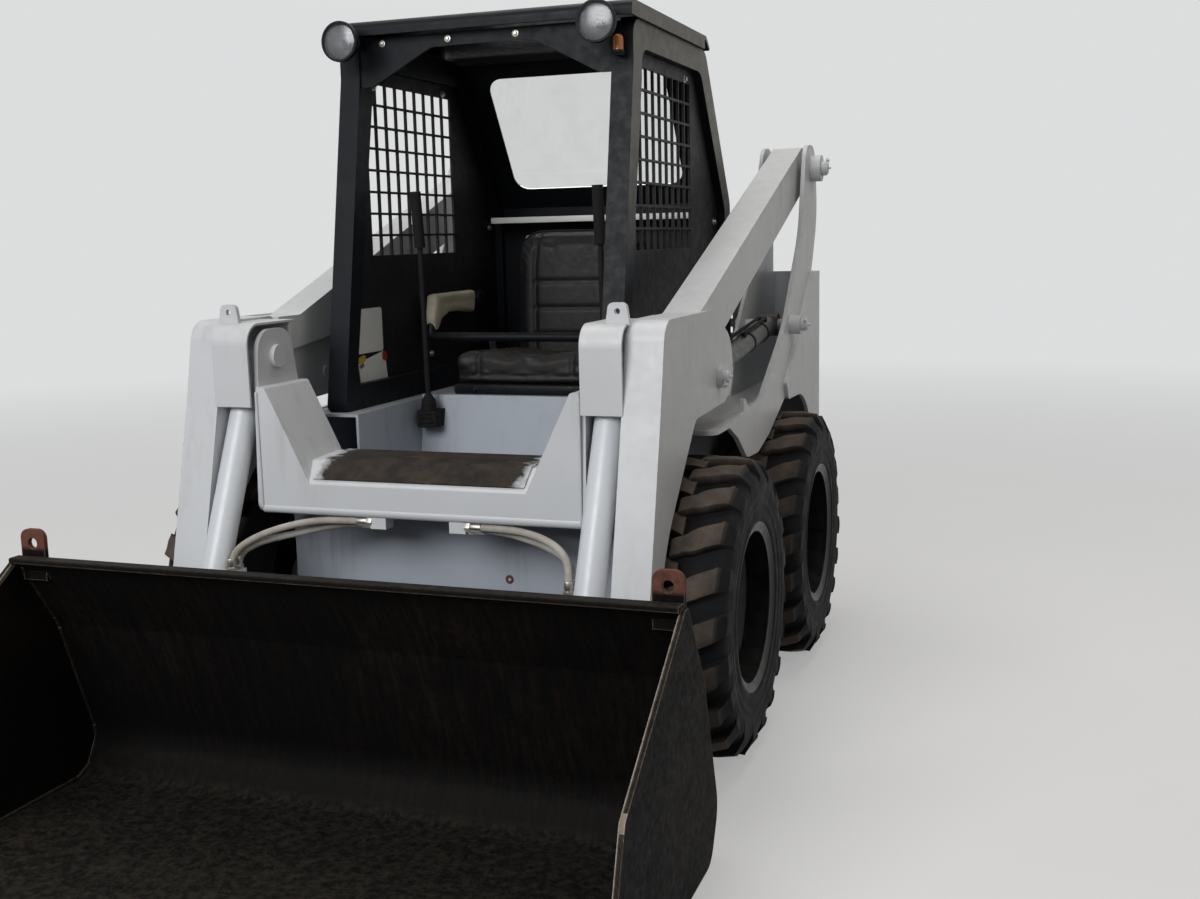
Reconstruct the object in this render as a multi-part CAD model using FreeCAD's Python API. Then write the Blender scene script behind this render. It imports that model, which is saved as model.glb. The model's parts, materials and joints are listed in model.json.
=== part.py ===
import FreeCAD, Part
import math
import os

# Skid steer loader with radial lift arms. Millimetres.
# X runs to the machine's left, Y to its rear, Z up. Y is 0 over the front axle and Z is 0 on the floor.
# Side outlines are (y, z, corner radius); front outlines are (x, z, corner radius).

# Wheels
TYRE_R = 387.5
TYRE_W = 264.0
TYRE_WALL = 24.0
RIM_FLANGE_R = 222.0
RIM_SEAT_R = 208.0
RIM_WALL = 8.0
WHEELBASE = 902.0
DISC_INSET = 62.0
HUB_R = 92.0
AXLE_TUBE_R = 62.0
AXLE_R = 32.0
TYRE_FLATS = 20
LUG_HEIGHT = 26.0
LUG_REACH = 58.0
LUG_CORNER_R = TYRE_R / math.cos(math.pi / (2 * TYRE_FLATS))
STAND_TURN = math.degrees(math.asin(LUG_REACH / LUG_CORNER_R)) - 90 / TYRE_FLATS
NUT_R = 15.0
FIT = 0.3

# Main frame
FRAME_HALF = 480.0
WHEEL_GAP = 43.5
TRACK = 2 * (FRAME_HALF + WHEEL_GAP) + TYRE_W
FRAME_FRONT_Y = -160.0
FRAME_REAR_Y = 1440.0
BELLY_Z = 195.0
PLATE = 12.0
CASE_INNER_X = FRAME_HALF - 150
CASE_TOP_Z = 560.0
DECK_Z = 834.0
DECK_T = 12.0
DECK_FRONT_Y = 40.0
LEDGE_Z = 870.0
REAR_Y = 1500.0

# Lift arms
PIVOT_Y = 1375.0
PIVOT_Z = 1555.0
PIVOT_PIN_R = 25.0
ARM_IN_X = FRAME_HALF + 70
ARM_OUT_X = ARM_IN_X + 95
TUBE_IN_X = ARM_IN_X - 15
TUBE_OUT_X = ARM_OUT_X - 12
TUBE_DEPTH = 142.0
TUBE_SLOPE = 19.65
KNEE_TOP_Z = 1145.0
KNEE_FRONT_Y = -330.0
TYRE_GAP = 15.0
FOOT_Y = -475.0
FOOT_Z = 187.0
FOOT_R = 58.0
FOOT_PIN_R = 22.0
BAY_IN_X = ARM_IN_X - 108.4
BAY_PLATE = 12.0
COVER_FRONT_Y = -378.0
COVER_BOTTOM_Z = 927.0
SHEET = 6.0

# Crossmember between the arms, with a step on top
CROSS_FRONT_Y = -362.0
CROSS_REAR_Y = -150.0
CROSS_BOTTOM_Z = 652.0
CROSS_FRONT_Z = 735.0
CROSS_TOP_Z = 790.0
CROSS_WALL = 10.0
GUSSET_IN_X = BAY_IN_X - 141.6
GUSSET_OUT_X = BAY_IN_X - 21.6
LIP_R = 14.0
GUSSET_TOP_Z = 972.0
TREAD_T = 4.0

# Uprights that carry the arms
UPRIGHT_OUT_X = ARM_OUT_X + 5
UPRIGHT_OUT_T = 14.0
UPRIGHT_IN_X = FRAME_HALF + 25
UPRIGHT_IN_T = 12.0
BOSS_END_X = UPRIGHT_OUT_X + 66

# Lift cylinders, between the uprights' plates
LIFT_BASE_Y = 1010.0
LIFT_BASE_Z = 1045.0
LIFT_EYE_Y = 160.0
LIFT_EYE_Z = 965.0
LIFT_X = (ARM_IN_X + ARM_OUT_X) / 2
LIFT_BARREL_R = 30.0
LIFT_ROD_R = 16.0
LIFT_PIN_R = 19.0
LIFT_NOSE = 72.0
EYE_W = 56.0

# Tilt cylinders, between the knee's inner plate and the leg
TILT_TOP_Y = -262.0
TILT_TOP_Z = 1050.0
TILT_EYE_Y = -555.0
TILT_EYE_Z = 388.0
TILT_X = ARM_IN_X - 46
TILT_BARREL_R = 37.0
TILT_ROD_R = 19.0
TILT_PIN_R = 19.0
TILT_BARREL_L = 606.0

# Quick attach and bucket
BUCKET_HALF = 830.0
BUCKET_SHEET = 8.0
BUCKET_BOTTOM_Z = 3.0
BUCKET_FRONT_Y = -1500.0
EDGE_T = 20.0
EDGE_W = 200.0
BACK_LOW = (-598.0, 110.0)
BACK_HIGH = (-703.0, 430.0)
LIP_TOP = (-815.0, 612.0)
SIDE_T = 10.0
ATTACH_HALF = ARM_IN_X + 10
ATTACH_T = 14.0
EAR_T = 12.0
EAR_GAP = 3.0
HANDLE_X = 200.0

# Cab
CAB_HALF = 432.0
CAB_BASE_Z = LEDGE_Z + FIT
CAB_ROOF_Z = 1938.0
PILLAR_W = 60.0
PILLAR_D = 70.0
PILLAR_FOOT_Y = -40.0
PILLAR_HEAD_Y = 130.0
PILLAR_HEAD_Z = CAB_ROOF_Z - 148
CAB_REAR_TOP_Y = 850.0
CAB_REAR_MID_Y = 1150.0
CAB_REAR_MID_Z = 1440.0
CAB_SHEET = 8.0
LAMP_X = 368.0
LAMP_Y = 40.0
LAMP_Z = CAB_ROOF_Z - 62
LAMP_R = 50.0
ROOF_FRONT_Y = 92.0
MARKER_Z = CAB_ROOF_Z - 130
SCREEN_CELL = 62.0
SCREEN_BAR = 7.0
SCREEN_LOW_Z = 1300.0
SCREEN_FRONT_Y = 205.0
SCREEN_REAR_Y = 790.0

# Operator's place
SHELF_Z = 880.0
FLOOR_Z = 420.0
RISER_FOOT_Y = 250.0
RISER_TOP_Y = 340.0
LEVER_X = 280.0
LEVER_Y = 285.0
LEVER_FOOT_Z = 790.0
LEVER_TOP_Z = 1480.0
BAR_X = 345.0
BAR_PIVOT_Y = 790.0
BAR_PIVOT_Z = 1150.0
BAR_R = 14.0

# Engine compartment
ENGINE_HALF = 240.0
HOOD_HALF = UPRIGHT_IN_X - 5
HOOD_FRONT_Y = 1164.0
HOOD_HINGE_Y = 1235.0
HOOD_HINGE_Z = 1255.0
HOOD_PIN_R = 8.0
HOOD_Z = 1290.0
GATE_T = 30.0
GATE_HALF = UPRIGHT_IN_X + 55
GATE_BOTTOM_Z = 420.0
GATE_TOP_Z = 1175.0
GATE_FRONT_Y = 1470.3
HINGE_X = -GATE_HALF - 14
HINGE_Y = 1485.0
HINGE_R = 12.0
HINGE_PIN_R = 6.0
GATE_HINGE_Z = (560.0, 1060.0)

# Hoses from the crossmember to the tilt cylinders
HOSE_R = 9.0
HOSE_START_X = 110.0
PORT_TOP_Z = 526.0
PORT_X = TILT_X - 49


def vec(x, y, z):
    return FreeCAD.Vector(x, y, z)


def rounded(corners, place):
    """Closed wire through corners (a, b, radius), each corner rounded by an arc."""
    pts = [FreeCAD.Vector(a, b, 0) for a, b, r in corners]
    edges = []
    ends = []
    for i, (a, b, r) in enumerate(corners):
        here = pts[i]
        back = (pts[i - 1] - here).normalize()
        ahead = (pts[(i + 1) % len(pts)] - here).normalize()
        half = back.getAngle(ahead) / 2
        if r <= 0 or half > math.radians(89.5):
            ends.append((here, None, here))
            continue
        reach = r / math.tan(half)
        middle = (back + ahead).normalize()
        centre = here + middle * (r / math.sin(half))
        ends.append((here + back * reach, centre - middle * r, here + ahead * reach))
    for i, (start, mid, end) in enumerate(ends):
        if mid is not None:
            edges.append(Part.Arc(place(start), place(mid), place(end)).toShape())
        following = ends[(i + 1) % len(ends)][0]
        if (following - end).Length > 1e-4:
            edges.append(Part.LineSegment(place(end), place(following)).toShape())
    return Part.Wire(edges)


def side_plate(corners, x, thickness, holes=()):
    """Plate in the YZ plane from x to x + thickness, with round holes (y, z, radius)."""
    face = Part.Face(rounded(corners, lambda p: vec(x, p.x, p.y)))
    plate = face.extrude(vec(thickness, 0, 0))
    for y, z, r in holes:
        plate = plate.cut(rod_x(x - 1, x + thickness + 1, y, z, r))
    return plate


def front_plate(corners, y, thickness):
    """Plate in the XZ plane from y to y + thickness."""
    face = Part.Face(rounded(corners, lambda p: vec(p.x, y, p.y)))
    return face.extrude(vec(0, thickness, 0))


def floor_plate(corners, z, thickness):
    """Plate in the XY plane from z to z + thickness."""
    face = Part.Face(rounded(corners, lambda p: vec(p.x, p.y, z)))
    return face.extrude(vec(0, 0, thickness))


def block(x0, x1, y0, y1, z0, z1):
    return Part.makeBox(x1 - x0, y1 - y0, z1 - z0, vec(x0, y0, z0))


def rod_x(x0, x1, y, z, r):
    return Part.makeCylinder(r, x1 - x0, vec(x0, y, z), vec(1, 0, 0))


def rod_between(start, end, r):
    return Part.makeCylinder(r, (end - start).Length, start, end - start)


def mirrored(shape):
    return shape.mirror(vec(0, 0, 0), vec(1, 0, 0))


def joined(shapes):
    whole = shapes[0]
    for shape in shapes[1:]:
        whole = whole.fuse(shape)
    return whole.removeSplitter()


def bent_sheet(bends, thickness):
    """Closed outline of a sheet bent along bends (a, b, outer radius), its thickness to the left."""
    pts = [FreeCAD.Vector(a, b, 0) for a, b, r in bends]
    inner = []
    for i, (a, b, r) in enumerate(bends):
        runs = []
        if i > 0:
            runs.append((pts[i] - pts[i - 1]).normalize())
        if i < len(pts) - 1:
            runs.append((pts[i + 1] - pts[i]).normalize())
        normals = [FreeCAD.Vector(-run.y, run.x, 0) for run in runs]
        middle = (normals[0] + normals[-1]).normalize()
        shift = middle * (thickness / middle.dot(normals[0]))
        turn = runs[0].cross(runs[-1]).z
        radius = 0
        if r > 0:
            radius = r - thickness if turn > 0 else r + thickness
        inner.append((pts[i].x + shift.x, pts[i].y + shift.y, radius))
    return list(bends) + inner[::-1]


def save(name, shape):
    if isinstance(shape, list):
        shape = Part.makeCompound(shape)
    os.makedirs("parts", exist_ok=True)
    shape.exportStep("parts/" + name + ".step")
    print(name, "solids", len(shape.Solids), "valid", shape.isValid())


def save_pair(name, left):
    save(name + "_left", left)
    save(name + "_right", mirrored(left))


# Wheels: a hollow tyre on a rim whose disc sits deep in its dish.

def flat_sided_ring(profile, flats):
    """Ring turned about X from the closed profile (x, r), with flats of radius r instead of a round face."""
    stretch = 1 / math.cos(math.pi / flats)
    angles = [(i + 0.5) * 2 * math.pi / flats for i in range(flats)]
    rings = [[vec(x, r * stretch * math.sin(a), r * stretch * math.cos(a)) for a in angles] for x, r in profile]
    faces = []
    for near, far in zip(rings, rings[1:] + rings[:1]):
        for i in range(flats):
            faces.append(Part.Face(Part.makePolygon([near[i - 1], near[i], far[i], far[i - 1], near[i - 1]])))
    shell = Part.makeShell(faces)
    shell.sewShape()
    ring = Part.makeSolid(shell)
    if ring.Volume < 0:
        ring.reverse()
    return ring


def tyre():
    """Hollow carcass with a slanting lug from each shoulder to past its middle on every flat."""
    seat = TYRE_W / 2 - 20
    half = TYRE_W / 2
    ground = TYRE_R - LUG_HEIGHT
    bead = seat - TYRE_WALL
    liner = half - TYRE_WALL
    carcass = flat_sided_ring([
        (-seat, RIM_SEAT_R), (-half, 300), (-half + 28, ground), (half - 28, ground), (half, 300), (seat, RIM_SEAT_R),
        (bead, RIM_SEAT_R), (liner, ground - TYRE_WALL), (-liner, ground - TYRE_WALL), (-bead, RIM_SEAT_R)],
        TYRE_FLATS)
    tip = math.sqrt(LUG_CORNER_R ** 2 - LUG_REACH ** 2)
    plan = [(-12, -LUG_REACH, 0), (half, -4, 0), (half, LUG_REACH, 0), (-12, 46 - LUG_REACH, 0)]
    profile = [
        (-12, ground - 12, 0), (-12, tip, 0), (half - 28, tip, 0), (half - 2, tip - 45, 0), (half - 2, 298, 0),
        (half - 20, 340, 0), (half - 34, ground - 9, 0)]
    lug = floor_plate(plan, ground - 70, 110).common(front_plate(profile, -70, 140))
    other = mirrored(lug)
    lugs = []
    for i in range(TYRE_FLATS):
        for shape, turn in ((lug, i), (other, i + 0.5)):
            placed = shape.copy()
            placed.rotate(vec(0, 0, 0), vec(1, 0, 0), turn * 360 / TYRE_FLATS)
            lugs.append(placed)
    return carcass.multiFuse(lugs).removeSplitter()


def wheel():
    """Rim, disc and hub with its shaft, the outer side towards +X."""
    seat = TYRE_W / 2 - 20
    gap = FIT
    top = RIM_SEAT_R - gap
    ring = flat_sided_ring([
        (-seat + gap, top), (-seat + gap, top - RIM_WALL), (-40, top - RIM_WALL), (-20, top - 30), (30, top - 30),
        (50, top - RIM_WALL), (seat - gap, top - RIM_WALL), (seat - gap, top), (55, top), (34, top - 22),
        (-24, top - 22), (-44, top)], TYRE_FLATS)
    disc_x = -DISC_INSET
    web = flat_sided_ring([
        (disc_x, 60), (disc_x, 120), (disc_x + 22, 150), (disc_x + 22, top - RIM_WALL + 2),
        (disc_x + 12, top - RIM_WALL + 2), (disc_x + 12, 154), (disc_x - 10, 124), (disc_x - 10, 60)], TYRE_FLATS)
    hub = rod_x(disc_x - 22, disc_x, 0, 0, HUB_R)
    nose = rod_x(disc_x - 4, disc_x + 34, 0, 0, 56)
    nuts = []
    for turn in range(8):
        angle = math.radians(45 * turn + 22.5)
        middle = vec(76 * math.cos(angle), 76 * math.sin(angle), 0)
        corners = [middle + vec(NUT_R * math.cos(i * math.pi / 3), NUT_R * math.sin(i * math.pi / 3), 0) for i in range(6)]
        nuts.append(side_plate([(corner.x, corner.y, 0) for corner in corners], disc_x - 4, 24))
    shaft = rod_x(disc_x - 100, disc_x - 20, 0, 0, AXLE_R)
    return joined([ring, web, hub, nose, shaft] + nuts)


def wheels():
    """Wheels turned so that each stands on the corners of two lugs."""
    solid_tyre = tyre()
    solid_wheel = wheel()
    for end, y in (("front", 0), ("rear", WHEELBASE)):
        at = vec(TRACK / 2, y, TYRE_R)
        for name, shape in (("tyre_" + end, solid_tyre), ("wheel_" + end, solid_wheel)):
            placed = shape.copy()
            placed.rotate(vec(0, 0, 0), vec(1, 0, 0), -STAND_TURN)
            placed.translate(at)
            save_pair(name, placed)


def axle_tubes():
    tubes = []
    end_x = TRACK / 2 - DISC_INSET - 22 - 6
    for y in (0, WHEELBASE):
        tube = rod_x(FRAME_HALF, end_x, y, TYRE_R, AXLE_TUBE_R)
        flange = rod_x(FRAME_HALF, FRAME_HALF + 14, y, TYRE_R, 95)
        tube = tube.fuse(flange).cut(rod_x(FRAME_HALF - 1, end_x + 1, y, TYRE_R, AXLE_R + FIT))
        tubes += [tube, mirrored(tube)]
    save("axle_tubes", tubes)


# Main frame: belly pan, chain cases, walls and front panel.

def main_frame():
    half = FRAME_HALF
    belly = block(-half, half, FRAME_FRONT_Y, FRAME_REAR_Y, BELLY_Z, BELLY_Z + PLATE)
    shapes = [belly]
    wall_outline = [
        (FRAME_FRONT_Y, BELLY_Z, 0), (FRAME_REAR_Y, BELLY_Z, 0), (FRAME_REAR_Y, LEDGE_Z, 0),
        (-60, LEDGE_Z, 0), (FRAME_FRONT_Y, 640, 40)]
    holes = [(y, TYRE_R, AXLE_R + 8) for y in (0, WHEELBASE)]
    wall = side_plate(wall_outline, half - PLATE, PLATE, holes)
    case_wall = block(CASE_INNER_X, CASE_INNER_X + 8, FRAME_FRONT_Y, 1100, BELLY_Z + PLATE, CASE_TOP_Z)
    case_top = block(CASE_INNER_X, half - PLATE, FRAME_FRONT_Y, 1100, CASE_TOP_Z - 8, CASE_TOP_Z)
    case_end = block(CASE_INNER_X, half - PLATE, 1092, 1100, BELLY_Z + PLATE, CASE_TOP_Z)
    for shape in (wall, case_wall, case_top, case_end):
        shapes += [shape, mirrored(shape)]
    shapes.append(block(-half, half, FRAME_FRONT_Y, FRAME_FRONT_Y + 10, BELLY_Z, 636))
    shapes.append(block(-half, half, 1000 - PLATE, 1000, BELLY_Z, 380))
    shapes.append(block(-half - 80, half + 80, FRAME_REAR_Y - 10, REAR_Y, 330, GATE_BOTTOM_Z - 10))
    save("main_frame", joined(shapes))


def footwell():
    """Floor, sloping seat riser, seat shelf and the ledges that the cab stands on."""
    inner = CASE_INNER_X
    floor = block(-inner + 0.3, inner - 0.3, FRAME_FRONT_Y + 10.3, RISER_FOOT_Y + 12, FLOOR_Z - 6, FLOOR_Z)
    riser = side_plate([
        (RISER_FOOT_Y, FLOOR_Z, 0), (RISER_FOOT_Y + 8, FLOOR_Z - 6, 0), (RISER_TOP_Y + 8, SHELF_Z - 8, 0),
        (RISER_TOP_Y, SHELF_Z, 0)], -inner + 0.3, 2 * inner - 0.6)
    shelf = block(-inner + 0.3, inner - 0.3, RISER_TOP_Y, 900, SHELF_Z - 6, SHELF_Z)
    rear = block(-inner + 0.3, inner - 0.3, 894, 900, 640, SHELF_Z)
    side = block(inner - 8, inner, -60, 900, CASE_TOP_Z + 0.3, LEDGE_Z - 8)
    ledge = block(inner - 8, FRAME_HALF - PLATE - 0.3, -60, 1100, LEDGE_Z - 8, LEDGE_Z)
    shapes = [floor, riser, shelf, rear]
    for shape in (side, ledge):
        shapes += [shape, mirrored(shape)]
    save("footwell_panel", joined(shapes))


# Uprights: a curved outer plate, an inner plate and the deck over the tyres.

def upright():
    outer_outline = [
        (PIVOT_Y - 88, PIVOT_Z + 78, 75), (PIVOT_Y + 62, PIVOT_Z + 78, 75), (1488, 1400, 220),
        (1290, 1050, 300), (930, 820, 150), (690, 735, 120), (540, 702, 90), (400, 708, 70), (290, 782, 40),
        (172, DECK_Z - 2, 6),
        (352, DECK_Z + 8, 12), (372, 884, 6), (420, DECK_Z + 14, 30), (590, DECK_Z + 22, 100),
        (930, 1040, 400), (1205, 1335, 300)]
    outer = side_plate(outer_outline, UPRIGHT_OUT_X, UPRIGHT_OUT_T)
    inner_outline = [
        (PIVOT_Y - 85, PIVOT_Z + 72, 70), (PIVOT_Y + 62, PIVOT_Z + 72, 70), (1440, 1300, 200),
        (1440, DECK_Z - 2, 0), (800, DECK_Z - 2, 0), (885, 1020, 120), (1190, 1300, 250)]
    inner = side_plate(inner_outline, UPRIGHT_IN_X, UPRIGHT_IN_T)
    deck = floor_plate([
        (FRAME_HALF, DECK_FRONT_Y + 40, 0), (UPRIGHT_OUT_X + UPRIGHT_OUT_T, DECK_FRONT_Y, 30),
        (UPRIGHT_OUT_X + UPRIGHT_OUT_T, 1440, 0), (FRAME_HALF, 1440, 0)], DECK_Z - DECK_T, DECK_T)
    pins = []
    for y, z, r, boss in ((PIVOT_Y, PIVOT_Z, PIVOT_PIN_R, 44), (LIFT_BASE_Y, LIFT_BASE_Z, LIFT_PIN_R, 30)):
        pins.append(rod_x(UPRIGHT_IN_X - 20, BOSS_END_X, y, z, r))
        pins.append(rod_x(UPRIGHT_OUT_X + 4, BOSS_END_X - 16, y, z, boss))
        pins.append(rod_x(UPRIGHT_IN_X - 14, UPRIGHT_IN_X + 4, y, z, boss))
    rear_plate = side_plate([
        (1350, 1205, 20), (1470, 1205, 0), (1470, 470, 60), (1330, 470, 40), (1330, 806, 250),
        (930, 812, 20), (900, 868, 10)], UPRIGHT_OUT_X + UPRIGHT_OUT_T, 12)
    rear_panel = front_plate([
        (UPRIGHT_IN_X, 440, 0), (UPRIGHT_OUT_X + 14, 440, 40), (UPRIGHT_OUT_X + 14, 1205, 0),
        (UPRIGHT_IN_X, 1205, 0)], 1458, 12)
    post = block(UPRIGHT_IN_X, UPRIGHT_IN_X + UPRIGHT_IN_T, 1400, 1460, 440, 1205)
    hood_pin = rod_x(HOOD_HALF - 14, UPRIGHT_IN_X + 2, HOOD_HINGE_Y, HOOD_HINGE_Z, HOOD_PIN_R)
    left = joined([outer, inner, deck, rear_plate, rear_panel, post, hood_pin] + pins)
    save("upright_left", left)
    hinges = []
    for z in GATE_HINGE_Z:
        knuckle = Part.makeCylinder(HINGE_R, 40, vec(HINGE_X, HINGE_Y, z - 40.3))
        leaf = block(HINGE_X - HINGE_R, HINGE_X + 4, 1460, HINGE_Y - 2, z - 40.3, z - 0.3)
        pin = Part.makeCylinder(HINGE_PIN_R, 70, vec(HINGE_X, HINGE_Y, z - 30))
        hinges += [knuckle, leaf, pin]
    save("upright_right", joined([mirrored(left)] + hinges))


# Lift arms.

def tube_point(along, across):
    """Point of the arm's tube, measured from the pivot along and across its slope."""
    a = math.radians(TUBE_SLOPE)
    y = PIVOT_Y + along * math.cos(a) - across * math.sin(a)
    z = PIVOT_Z + along * math.sin(a) + across * math.cos(a)
    return y, z


def leg_rear():
    """Rear edge of the leg, which follows the front tyre with a gap."""
    r = TYRE_R + TYRE_GAP
    turn = math.radians(48.0)
    return (-r, TYRE_R + r * math.tan(turn / 2), r)


def lift_arm():
    half = TUBE_DEPTH / 2
    foot = [
        (FOOT_Y + FOOT_R, FOOT_Z - FOOT_R, FOOT_R - 1), (FOOT_Y - FOOT_R, FOOT_Z - FOOT_R, FOOT_R - 1),
        (FOOT_Y - FOOT_R, 310, 200), (-376, 930, 300), (KNEE_FRONT_Y, KNEE_TOP_Z, 60)]
    knee = foot + [
        (90, KNEE_TOP_Z, 170), (300, 1060, 110), (318, 925, 60), (215, 890, 40), (-75, 882, 60), leg_rear()]
    plate = side_plate(knee, TUBE_OUT_X, ARM_OUT_X - TUBE_OUT_X)
    leg = side_plate(foot + [(-95, KNEE_TOP_Z, 20), (-110, 862, 30), leg_rear()], ARM_IN_X, TUBE_OUT_X - ARM_IN_X)
    ends = [tube_point(half, half), tube_point(half, -half), tube_point(-1215, -half), tube_point(-1480, half)]
    tube = side_plate(
        [ends[0] + (70,), ends[1] + (70,), ends[2] + (0,), (-95, 1040, 0), (-95, KNEE_TOP_Z - 4, 0),
         (tube_point(-1420, half)[0], KNEE_TOP_Z - 4, 60)],
        TUBE_IN_X, TUBE_OUT_X - TUBE_IN_X)
    inner = side_plate(
        [(-105, 1060, 0), (250, 1075, 40), (285, 925, 50), (205, 900, 40), (-105, 890, 0)],
        ARM_IN_X, BAY_PLATE)
    bay = side_plate(
        [(-365, CROSS_BOTTOM_Z, 25), (-152, CROSS_BOTTOM_Z, 20), (-152, 925, 40), (-190, 1122, 60),
         (-338, 1122, 60), (-352, 940, 200)],
        BAY_IN_X, BAY_PLATE)
    cover = side_plate(
        bent_sheet([(COVER_FRONT_Y, COVER_BOTTOM_Z, 0), (COVER_FRONT_Y, KNEE_TOP_Z - 6, 55),
                    (-150, KNEE_TOP_Z - 6, 0)], -SHEET),
        BAY_IN_X + BAY_PLATE - 4, ARM_IN_X - BAY_IN_X - BAY_PLATE + 8)
    web = block(BAY_IN_X + BAY_PLATE - 2, ARM_IN_X + 2, -176, -166, 770, KNEE_TOP_Z - 10)
    pin = rod_x(BAY_IN_X - 8, ARM_IN_X + 4, TILT_TOP_Y, TILT_TOP_Z, TILT_PIN_R)
    retainer = rod_x(BAY_IN_X - 14, BAY_IN_X + 2, TILT_TOP_Y, TILT_TOP_Z, 30)
    lug_x = ARM_IN_X - 20
    lug = front_plate([
        (lug_x - 30, KNEE_TOP_Z - 10, 0), (lug_x + 30, KNEE_TOP_Z - 10, 0), (lug_x + 22, KNEE_TOP_Z + 42, 14),
        (lug_x - 22, KNEE_TOP_Z + 42, 14)], -332, 12)
    lug = lug.cut(Part.makeCylinder(7, 30, vec(lug_x, -340, KNEE_TOP_Z + 22), vec(0, 1, 0)))
    eye_gap = (EYE_W / 2) + 2
    boss_out = rod_x(LIFT_X + eye_gap, ARM_OUT_X + 22, LIFT_EYE_Y, LIFT_EYE_Z, LIFT_PIN_R)
    collar = rod_x(ARM_OUT_X - 2, ARM_OUT_X + 12, LIFT_EYE_Y, LIFT_EYE_Z, 30)
    boss_in = rod_x(ARM_IN_X - 6, LIFT_X - eye_gap, LIFT_EYE_Y, LIFT_EYE_Z, LIFT_PIN_R)
    arm = joined([plate, leg, tube, inner, bay, cover, web, pin, retainer, lug, boss_out, collar, boss_in])
    arm = arm.cut(rod_x(TUBE_IN_X - 1, ARM_OUT_X + 1, PIVOT_Y, PIVOT_Z, PIVOT_PIN_R + FIT))
    arm = arm.cut(rod_x(ARM_IN_X - 1, ARM_OUT_X + 1, FOOT_Y, FOOT_Z, FOOT_PIN_R + FIT))
    save_pair("lift_arm", arm)


def crossmember():
    """Open-ended box beam with a sloped step on top and gussets up to the knees."""
    end_x = BAY_IN_X - FIT
    section = [
        (CROSS_FRONT_Y, CROSS_BOTTOM_Z, 16), (CROSS_REAR_Y, CROSS_BOTTOM_Z, 16), (CROSS_REAR_Y, CROSS_TOP_Z, 16),
        (CROSS_FRONT_Y + 62, CROSS_TOP_Z - 6, 12), (CROSS_FRONT_Y, CROSS_FRONT_Z, 12)]
    w = CROSS_WALL
    hollow = [
        (CROSS_FRONT_Y + w, CROSS_BOTTOM_Z + w, 6), (CROSS_REAR_Y - w, CROSS_BOTTOM_Z + w, 6),
        (CROSS_REAR_Y - w, CROSS_TOP_Z - w, 6), (CROSS_FRONT_Y + 66, CROSS_TOP_Z - 6 - w, 4),
        (CROSS_FRONT_Y + w, CROSS_FRONT_Z - 5, 4)]
    beam = side_plate(section, -end_x, 2 * end_x).cut(side_plate(hollow, -end_x - 1, 2 * end_x + 2))
    gusset = front_plate([
        (GUSSET_IN_X, CROSS_FRONT_Z - 20, 0), (end_x, CROSS_FRONT_Z - 20, 0), (end_x, GUSSET_TOP_Z, 0),
        (GUSSET_OUT_X, GUSSET_TOP_Z, 10), (GUSSET_IN_X, CROSS_FRONT_Z, 20)], CROSS_FRONT_Y, w)
    flange = front_plate([
        (GUSSET_IN_X, CROSS_FRONT_Z, 0), (GUSSET_IN_X + 12, CROSS_FRONT_Z, 0), (GUSSET_OUT_X + 10, GUSSET_TOP_Z, 0),
        (end_x, GUSSET_TOP_Z, 0), (end_x, GUSSET_TOP_Z + 6, 0), (GUSSET_OUT_X - 2, GUSSET_TOP_Z + 6, 10)],
        CROSS_FRONT_Y, CROSS_REAR_Y - CROSS_FRONT_Y)
    fittings = [block(x - 22, x + 22, CROSS_FRONT_Y + 6, CROSS_FRONT_Y + 46, CROSS_BOTTOM_Z - 30, CROSS_BOTTOM_Z + 2)
                for x in (-HOSE_START_X, HOSE_START_X)]
    lip = rod_x(-end_x, end_x, CROSS_FRONT_Y + LIP_R - 2, CROSS_BOTTOM_Z + LIP_R - 2, LIP_R)
    save("crossmember", joined([beam, gusset, mirrored(gusset), flange, mirrored(flange), lip] + fittings))


def step_tread():
    half = GUSSET_IN_X - 8
    line = [(CROSS_FRONT_Y + 8, CROSS_FRONT_Z + 7.5, 0), (CROSS_FRONT_Y + 60, CROSS_TOP_Z - 5.4, 0),
            (CROSS_REAR_Y - 22, CROSS_TOP_Z + 0.1, 0)]
    save("step_tread", side_plate(bent_sheet(line, TREAD_T), -half, 2 * half))


# Cylinders.

def aim(from_y, from_z, to_y, to_z):
    run = vec(0, to_y - from_y, to_z - from_z)
    return run.Length, run.normalize()


def lift_cylinder():
    length, way = aim(LIFT_BASE_Y, LIFT_BASE_Z, LIFT_EYE_Y, LIFT_EYE_Z)
    base = vec(LIFT_X, LIFT_BASE_Y, LIFT_BASE_Z)
    tip = vec(LIFT_X, LIFT_EYE_Y, LIFT_EYE_Z)
    barrel_l = length - LIFT_NOSE
    barrel = Part.makeCylinder(LIFT_BARREL_R, barrel_l - 30, base + way * 30, way)
    gland = Part.makeCylinder(LIFT_BARREL_R + 3, 40, base + way * (barrel_l - 40), way)
    eye = rod_x(LIFT_X - EYE_W / 2, LIFT_X + EYE_W / 2, LIFT_BASE_Y, LIFT_BASE_Z, 36)
    body = joined([barrel, gland, eye])
    body = body.cut(Part.makeCylinder(LIFT_ROD_R + 1, barrel_l, base + way * 60, way))
    body = body.cut(rod_x(LIFT_X - EYE_W, LIFT_X + EYE_W, LIFT_BASE_Y, LIFT_BASE_Z, LIFT_PIN_R + FIT))
    save_pair("lift_barrel", body)
    rod = Part.makeCylinder(LIFT_ROD_R, length - 72, base + way * 72, way)
    rod_eye = rod_x(LIFT_X - EYE_W / 2, LIFT_X + EYE_W / 2, LIFT_EYE_Y, LIFT_EYE_Z, 32)
    rod = rod.fuse(rod_eye).cut(rod_x(LIFT_X - EYE_W, LIFT_X + EYE_W, tip.y, tip.z, LIFT_PIN_R + FIT))
    save_pair("lift_rod", rod.removeSplitter())


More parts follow.
